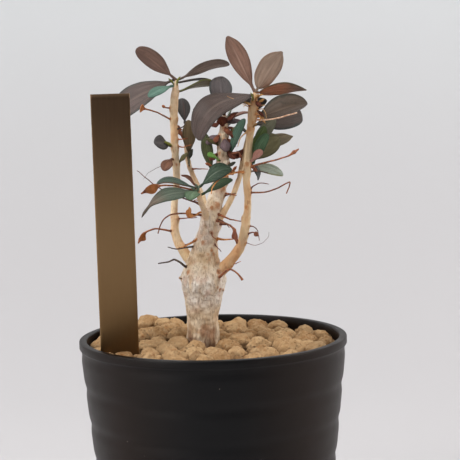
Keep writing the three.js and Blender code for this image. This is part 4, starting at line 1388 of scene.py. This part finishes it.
# Finer stalks that the CAD leaves out: the stem, the height above the gravel, the points from
# its bark outwards, the radius at the foot, the look, and the radius of a dead leaf at the end.
FINE_STALKS = [
    ("front_shoot", 47, [(-12, -1, 5), (-20, -2, 11.5)], 0.26, "purple", 0),
    ("caudex", 43.8, [(-2, -2, 0), (-3.6, -3, -1), (-5.2, -3, -0.4), (-5.2, -3, 2)], 0.4, "orange", 0.8),
    ("caudex", 44.4, [(-1.5, -1.5, 2), (-3, -1.6, 3.4), (-4.6, -1.6, 2.8)], 0.28, "brown", 0),
    ("caudex", 34.7, [(3, -1.5, -0.1), (6.4, -2.6, 0.2)], 0.42, "orange", 0),
    ("caudex", 37.4, [(0.3, -1, -1.2), (1.6, -1.3, -2.4)], 0.26, "brown", 0),
    ("caudex", 33.2, [(1, -1, -1), (2.2, -1.4, -2.4)], 0.26, "purple", 0),
    ("right_stem", 57, [(-2.4, -2, 0), (-6, -4, -0.8), (-8.4, -5, -2.2), (-10.4, -5.4, -4.4),
     (-10.8, -5.4, -6.6)], 0.34, "orange", 0),
    ("right_stem", 39.6, [(1.4, -0.6, -0.2), (2.5, -0.8, -1.3), (3, -1, -3), (3.1, -1, -4.8)],
     0.22, "purple", 0),
    ("right_stem", 36.8, [(1.4, -0.8, 0.5), (2.4, -1, 0.2), (3.6, -1, -0.8)], 0.3, "purple", 0.7),
    ("right_stem", 33.6, [(3, -2, -0.6), (5.6, -3, 0.2), (7.4, -3, 1.8), (7.8, -3, 3.6)],
     0.1, "purple", 0),
    ("left_stem", 41.2, [(2.4, -1.5, 0.2), (6.8, -3.4, 0.5)], 0.3, "purple", 0),
    ("left_stem", 31.6, [(2.6, -1.5, 1.5), (5, -2.5, 4), (6.2, -3, 4.8)], 0.32, "purple", 0),
    ("caudex", 34.9, [(-3, -1.6, -1.6), (-7, -1.8, -2.8)], 0.36, "orange", 0),
    ("caudex", 32.4, [(-3, -1.5, 0), (-6, -2, -0.4), (-9, -2.4, 0.4)], 0.34, "grey", 0),
    ("right_stem", 51.8, [(1.2, -0.6, 1.2), (3.1, -1, 2), (6, -1, 1.6)], 0.26, "purple", 0),
    ("right_stem", 57.6, [(1.6, 1, 0.1), (3.4, 1.4, 0), (6, 1.4, -0.6)], 0.36, "grey", 0),
    ("caudex", 43.2, [(2.4, -1.8, -1), (4.2, -2.2, -1.7), (6, -2.6, -2.1), (8, -3.2, -2.4)],
     0.34, "brown", 0),
    ("caudex", 41.6, [(2, -1.4, -0.8), (3.8, -1.8, -2.8)], 0.26, "purple", 0),
    ("caudex", 39.6, [(2.4, -1, -0.1), (4.2, -1.8, -0.4)], 0.42, "purple", 0),
    ("right_stem", 70.8, [(-1.5, -0.8, -1), (-2.6, -1, -2.6), (-3.4, -1, -4.8)], 0.28, "straw", 0),
    ("right_stem", 78, [(-2.6, -2, 1.3), (-7.4, -6.4, 3.8)], 0.16, "straw", 0),
    ("right_stem", 25.8, [(1.5, -1, 0.5), (3.4, -1.4, 1.2)], 0.22, "brown", 0),
    ("left_stem", 60, [(-4.4, -2, -1), (-7.8, -3, -2.6), (-10, -3, -5)], 0.1, "grey", 0),
    ("left_stem", 68.2, [(1.8, -1, 0.2), (3.6, -1.2, 0.4)], 0.26, "brown", 0),
    ("left_stem", 66, [(2, -1, -0.2), (4.6, -1.2, 0.4)], 0.26, "brown", 0),
    ("left_stem", 79.4, [(-1.6, -1, 0.2), (-3, -1.2, 0.8)], 0.3, "brown", 0.5),
    ("left_stem", 71, [(1.8, -1, 0.8), (3.2, -1.2, 1.8)], 0.26, "grey", 0),
    ("rear_stem", 58, [(2.5, -2, 0.2), (5.4, -3, 0)], 0.28, "brown", 0),
    ("rear_stem", 70, [(-1.6, -1.6, 0.8), (-3, -2, 2.2)], 0.26, "brown", 0.5),
    ("caudex", 50, [(2, -1.2, -0.2), (4.2, -1.8, -0.7)], 0.34, "brown", 0),
    ("caudex", 49, [(1.8, -1, 0.5), (4.2, -1.6, 1)], 0.28, "purple", 0),
    ("caudex", 56.4, [(2, -2, 1), (3.6, -2.6, 2.6)], 0.3, "brown", 0.5),
    ("caudex", 58.6, [(-2, -2, 0.6), (-4, -2.6, 1.6)], 0.28, "brown", 0.5),
    ("caudex", 21.6, [(-1.0, -0.4, 0.5)], 0.3, "grey", 0),
    ("caudex", 66.4, [(2.4, -1, 1.6), (4.2, -1.4, 3.2)], 0.28, "brown", 0.6),
    ("right_stem", 77.4, [(1.8, -1.2, 0.4), (2.8, -1.4, -0.8), (3, -1.4, -2.6)], 0.18, "straw", 0),
    ("right_stem", 78.4, [(2.2, -1, 0.6), (3.8, -1, -0.2)], 0.2, "straw", 0),
    ("right_stem", 76.4, [(1.2, -1.6, -0.8), (1.4, -1.8, -2.6)], 0.2, "orange", 0),
    ("right_stem", 79.6, [(-1.4, -1.6, 0.2), (-2.6, -1.8, -0.8)], 0.22, "straw", 0),
    ("right_stem", 75.4, [(1.6, -0.8, -0.4), (2.2, -0.8, -1.8)], 0.2, "orange", 0),
]
STALK_LOOKS = {
    "brown": ((112, 62, 40), (176, 106, 66)),
    "purple": ((88, 52, 46), (136, 88, 74)),
    "orange": ((164, 96, 50), (222, 158, 98)),
    "grey": ((66, 56, 50), (108, 92, 82)),
    "straw": ((186, 138, 84), (230, 190, 140)),
}


def fine_stalk(stem_name, height, points, radius, dead_leaf):
    """A thin stalk from inside its stem, with a collar at the bark and perhaps a dead leaf."""
    turn = math.degrees(math.atan2(points[0][0], -points[0][1]))
    foot, centre, _ = on_bark(stem_name, height, turn)
    rows = np.vstack([foot * 0, np.array(points) * MM]) + foot
    path = spline(rows, 10)
    share = np.linspace(0, 1, len(path))
    radii = radius * MM * (1 - 0.55 * share) * (1 + 0.9 * np.exp(-share * 16))
    if dead_leaf:
        bulge = smoothstep(0.45, 0.7, share) * smoothstep(1.05, 0.85, share)
        radii = np.maximum(radii, dead_leaf * MM * bulge)
    centres = np.vstack([np.linspace(centre, foot, 4)[:-1], path])
    radii = np.concatenate([np.full(3, radii[0]), radii])
    wobble = np.array([noise.noise_vector(Vector(c / (1.7 * MM))) for c in centres])
    return stalk_mesh(centres + FINE_WOBBLE * wobble, radii, FINE_SIDES), foot


def make_fine_stalks():
    """The thin stalks, joined by look. Gives back where each leaves its stem."""
    batches, feet = {}, []
    for stem_name, height, points, radius, look, dead_leaf in FINE_STALKS:
        mesh, foot = fine_stalk(stem_name, height, points, radius, dead_leaf)
        batches.setdefault(look, []).append(mesh)
        feet.append(foot)
    for look, batch in batches.items():
        points, faces, attributes = joined(batch)
        dark, light = (rgb(*tone) for tone in STALK_LOOKS[look])
        skin = dried_stalk(look + "_fine_stalk", dark, light)
        finish_piece(mesh_piece(look + "_stalks", points, faces, skin, **attributes), "dried_stalk")
    return feet


def stalk_finishes():
    """The material of each CAD spine."""
    brown = dried_stalk("stalk_brown", rgb(112, 66, 46), rgb(172, 110, 76))
    dull = dried_stalk("stalk_dull", rgb(100, 60, 44), rgb(158, 100, 70), rgb(112, 52, 32))
    cream = dried_stalk("stalk_cream", rgb(190, 142, 112), rgb(230, 196, 168))
    grey = dried_stalk("stalk_grey", rgb(70, 58, 50), rgb(112, 96, 84))
    finishes = {
        "spine_left_low": grey,
        "spine_left_long": dull,
        "spine_middle_leaf": dull,
        "spine_right_hook": dull,
        "spine_right_high": cream,
    }
    return {node: finishes.get(node, brown) for node in STALK_NODES}


def make_stalks():
    """One stalk for each CAD spine. Gives back where each leaves its stem."""
    feet = []
    for node, finish in stalk_finishes().items():
        stem = Stem.of_node(node)
        ends = [nearest_stem(stem.centres[k])[0] for k in (0, -1)]
        stem = (stem if ends[0] < ends[1] else stem.reversed()).fine(5)
        foot = stem.centres[0]
        feet.append(foot)
        root = root_in_stem(foot)
        centres = np.vstack([np.linspace(root, foot, 5)[:-1], stem.centres])
        slender = 0.64 + 0.36 * smoothstep(0.5 * MM, 0.8 * MM, stem.radii)
        radii = np.concatenate([np.full(4, stem.radii[0]), stem.radii * slender])
        wobble = np.array([noise.noise_vector(Vector(c / (2.4 * MM))) for c in centres])
        centres = centres + STALK_WOBBLE * wobble
        points, faces, attributes = stalk_mesh(centres, radii, STALK_SIDES)
        stalk = mesh_piece(node + "_stalk", points, faces, finish, **attributes)
        finish_piece(stalk, "dried_stalk", node)
    return feet


# ---------------------------------------------------------------- stage
STAGE_FLOOR = 0.3  # radius of its level middle
STAGE_BEND = 0.8
STAGE_WALL = 2.0
STAGE_LEVEL = -0.2 * MM
APRON_LEVEL = -0.25 * MM
APRON = [(-2.4, 0), (2.4, 0), (2.4, -3), (-2.4, -3)]


def stage_paint():
    """Pale matt paint, a little deeper in tone low down, where more light falls."""
    s = Shader("stage_paint", roughness=0.9, specular=0.05)
    axes = s.node("ShaderNodeSeparateXYZ")
    s.put(axes.inputs["Vector"], s.where)
    rise = s.band(axes.outputs["Z"], 0.0, 0.4)
    s.color(s.mix(rise, rgb(202, 200, 202), rgb(219, 222, 224)))
    return s.material


def make_stage():
    """A pale floor that curves up into a wall behind and beside the plant, open at the front."""
    reach, bend = STAGE_FLOOR, STAGE_BEND
    rise = np.linspace(0, math.pi / 2, 24)[1:]
    profile = [(r, STAGE_LEVEL) for r in (1e-4, 0.1, 0.2, reach)]
    profile += [(reach + bend * math.sin(a), bend * (1 - math.cos(a))) for a in rise]
    profile.append((reach + bend, STAGE_WALL))
    around = np.linspace(math.radians(-40), math.radians(220), 90)
    points = [(r * math.cos(a), r * math.sin(a), z) for r, z in profile for a in around]
    faces = []
    for r in range(len(profile) - 1):
        for k in range(len(around) - 1):
            low, high = r * len(around) + k, (r + 1) * len(around) + k
            faces.append((low, low + 1, high + 1, high))
    front = len(points)
    points += [(x, y, APRON_LEVEL) for x, y in APRON]
    faces.append((front, front + 3, front + 2, front + 1))
    mesh_piece("stage_bowl", points, faces, stage_paint())


CROWN_FOOT = (0, 0, RIM_TOP)
# Each light's place, what it points at, its size, power and colour.
LIGHTS = {
    "key_light": ((-0.55, -0.35, 0.9), CROWN_FOOT, 0.6, 8, (1.0, 0.98, 0.95)),
    "low_light": ((-0.6, -0.55, 0.22), CROWN_FOOT, 0.5, 1.6, (1.0, 0.98, 0.96)),
    "side_light": ((0.8, -0.15, 0.5), CROWN_FOOT, 0.5, 3, (1.0, 0.94, 0.88)),
    "wall_light": ((0.45, 0.1, 1.2), (0.2, 1.0, 0.5), 0.9, 5, (1.0, 0.99, 0.98)),
}
ROOM_DIM, ROOM_BRIGHT = 0.14, 0.42  # on the viewer's side, and behind the plant
ROOM_COLOR = (0.96, 0.97, 1.0, 1.0)


def area_light(name, place, aim, size, power, color):
    light = bpy.data.lights.new(name, "AREA")
    light.shape = "SQUARE"
    light.size = size
    light.energy = power
    light.color = color
    lamp = bpy.data.objects.new(name, light)
    lamp.location = place
    lamp.rotation_euler = (Vector(aim) - Vector(place)).to_track_quat("-Z", "Y").to_euler()
    bpy.context.scene.collection.objects.link(lamp)


def make_lights():
    """Soft light from above on both sides, in a room that is dim on the viewer's side."""
    world = bpy.data.worlds.new("studio")
    world.use_nodes = True
    tree = world.node_tree
    sky = tree.nodes["Background"]
    way = tree.nodes.new("ShaderNodeTexCoord")
    axes = tree.nodes.new("ShaderNodeSeparateXYZ")
    dim = tree.nodes.new("ShaderNodeMapRange")
    dim.inputs["From Min"].default_value = -0.9
    dim.inputs["From Max"].default_value = 0.1
    dim.inputs["To Min"].default_value = ROOM_DIM
    dim.inputs["To Max"].default_value = ROOM_BRIGHT
    tree.links.new(way.outputs["Generated"], axes.inputs["Vector"])
    tree.links.new(axes.outputs["Y"], dim.inputs["Value"])
    tree.links.new(dim.outputs["Result"], sky.inputs["Strength"])
    sky.inputs["Color"].default_value = ROOM_COLOR
    bpy.context.scene.world = world
    for name, settings in LIGHTS.items():
        area_light(name, *settings)
    bpy.context.scene.view_settings.view_transform = "Standard"


CAMERA_DISTANCE = 0.442
CAMERA_RISE = math.radians(10.1)
CAMERA_ROLL = math.radians(-1.3)
CAMERA_AIM = Vector((0.0065, 0, 0.1176))
LENS = 102.05


def make_camera():
    """A long lens a little above the rim, level with the crown, turned a degree."""
    camera = bpy.data.cameras.new("camera")
    camera.lens = LENS
    camera.sensor_width = 36
    camera.clip_start = 0.01
    eye = bpy.data.objects.new("camera", camera)
    away, rise = math.cos(CAMERA_RISE), math.sin(CAMERA_RISE)
    eye.location = (0, -CAMERA_DISTANCE * away, RIM_TOP + CAMERA_DISTANCE * rise)
    look = (CAMERA_AIM - eye.location).to_track_quat("-Z", "Y")
    eye.rotation_mode = "QUATERNION"
    eye.rotation_quaternion = look @ Quaternion((0, 0, 1), CAMERA_ROLL)
    bpy.context.scene.collection.objects.link(eye)
    bpy.context.scene.camera = eye


make_camera()
make_stage()
make_lights()
make_pot()
make_stones()
make_bed()
make_label()
leaf_feet = make_leaves()
sprout_feet = make_sprouts()
stalk_feet = make_stalks() + make_fine_stalks()
make_wood(leaf_feet + sprout_feet + stalk_feet)
mix_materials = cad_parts["potting_mix"].data.materials
mix_materials.clear()
mix_materials.append(potting_mix())
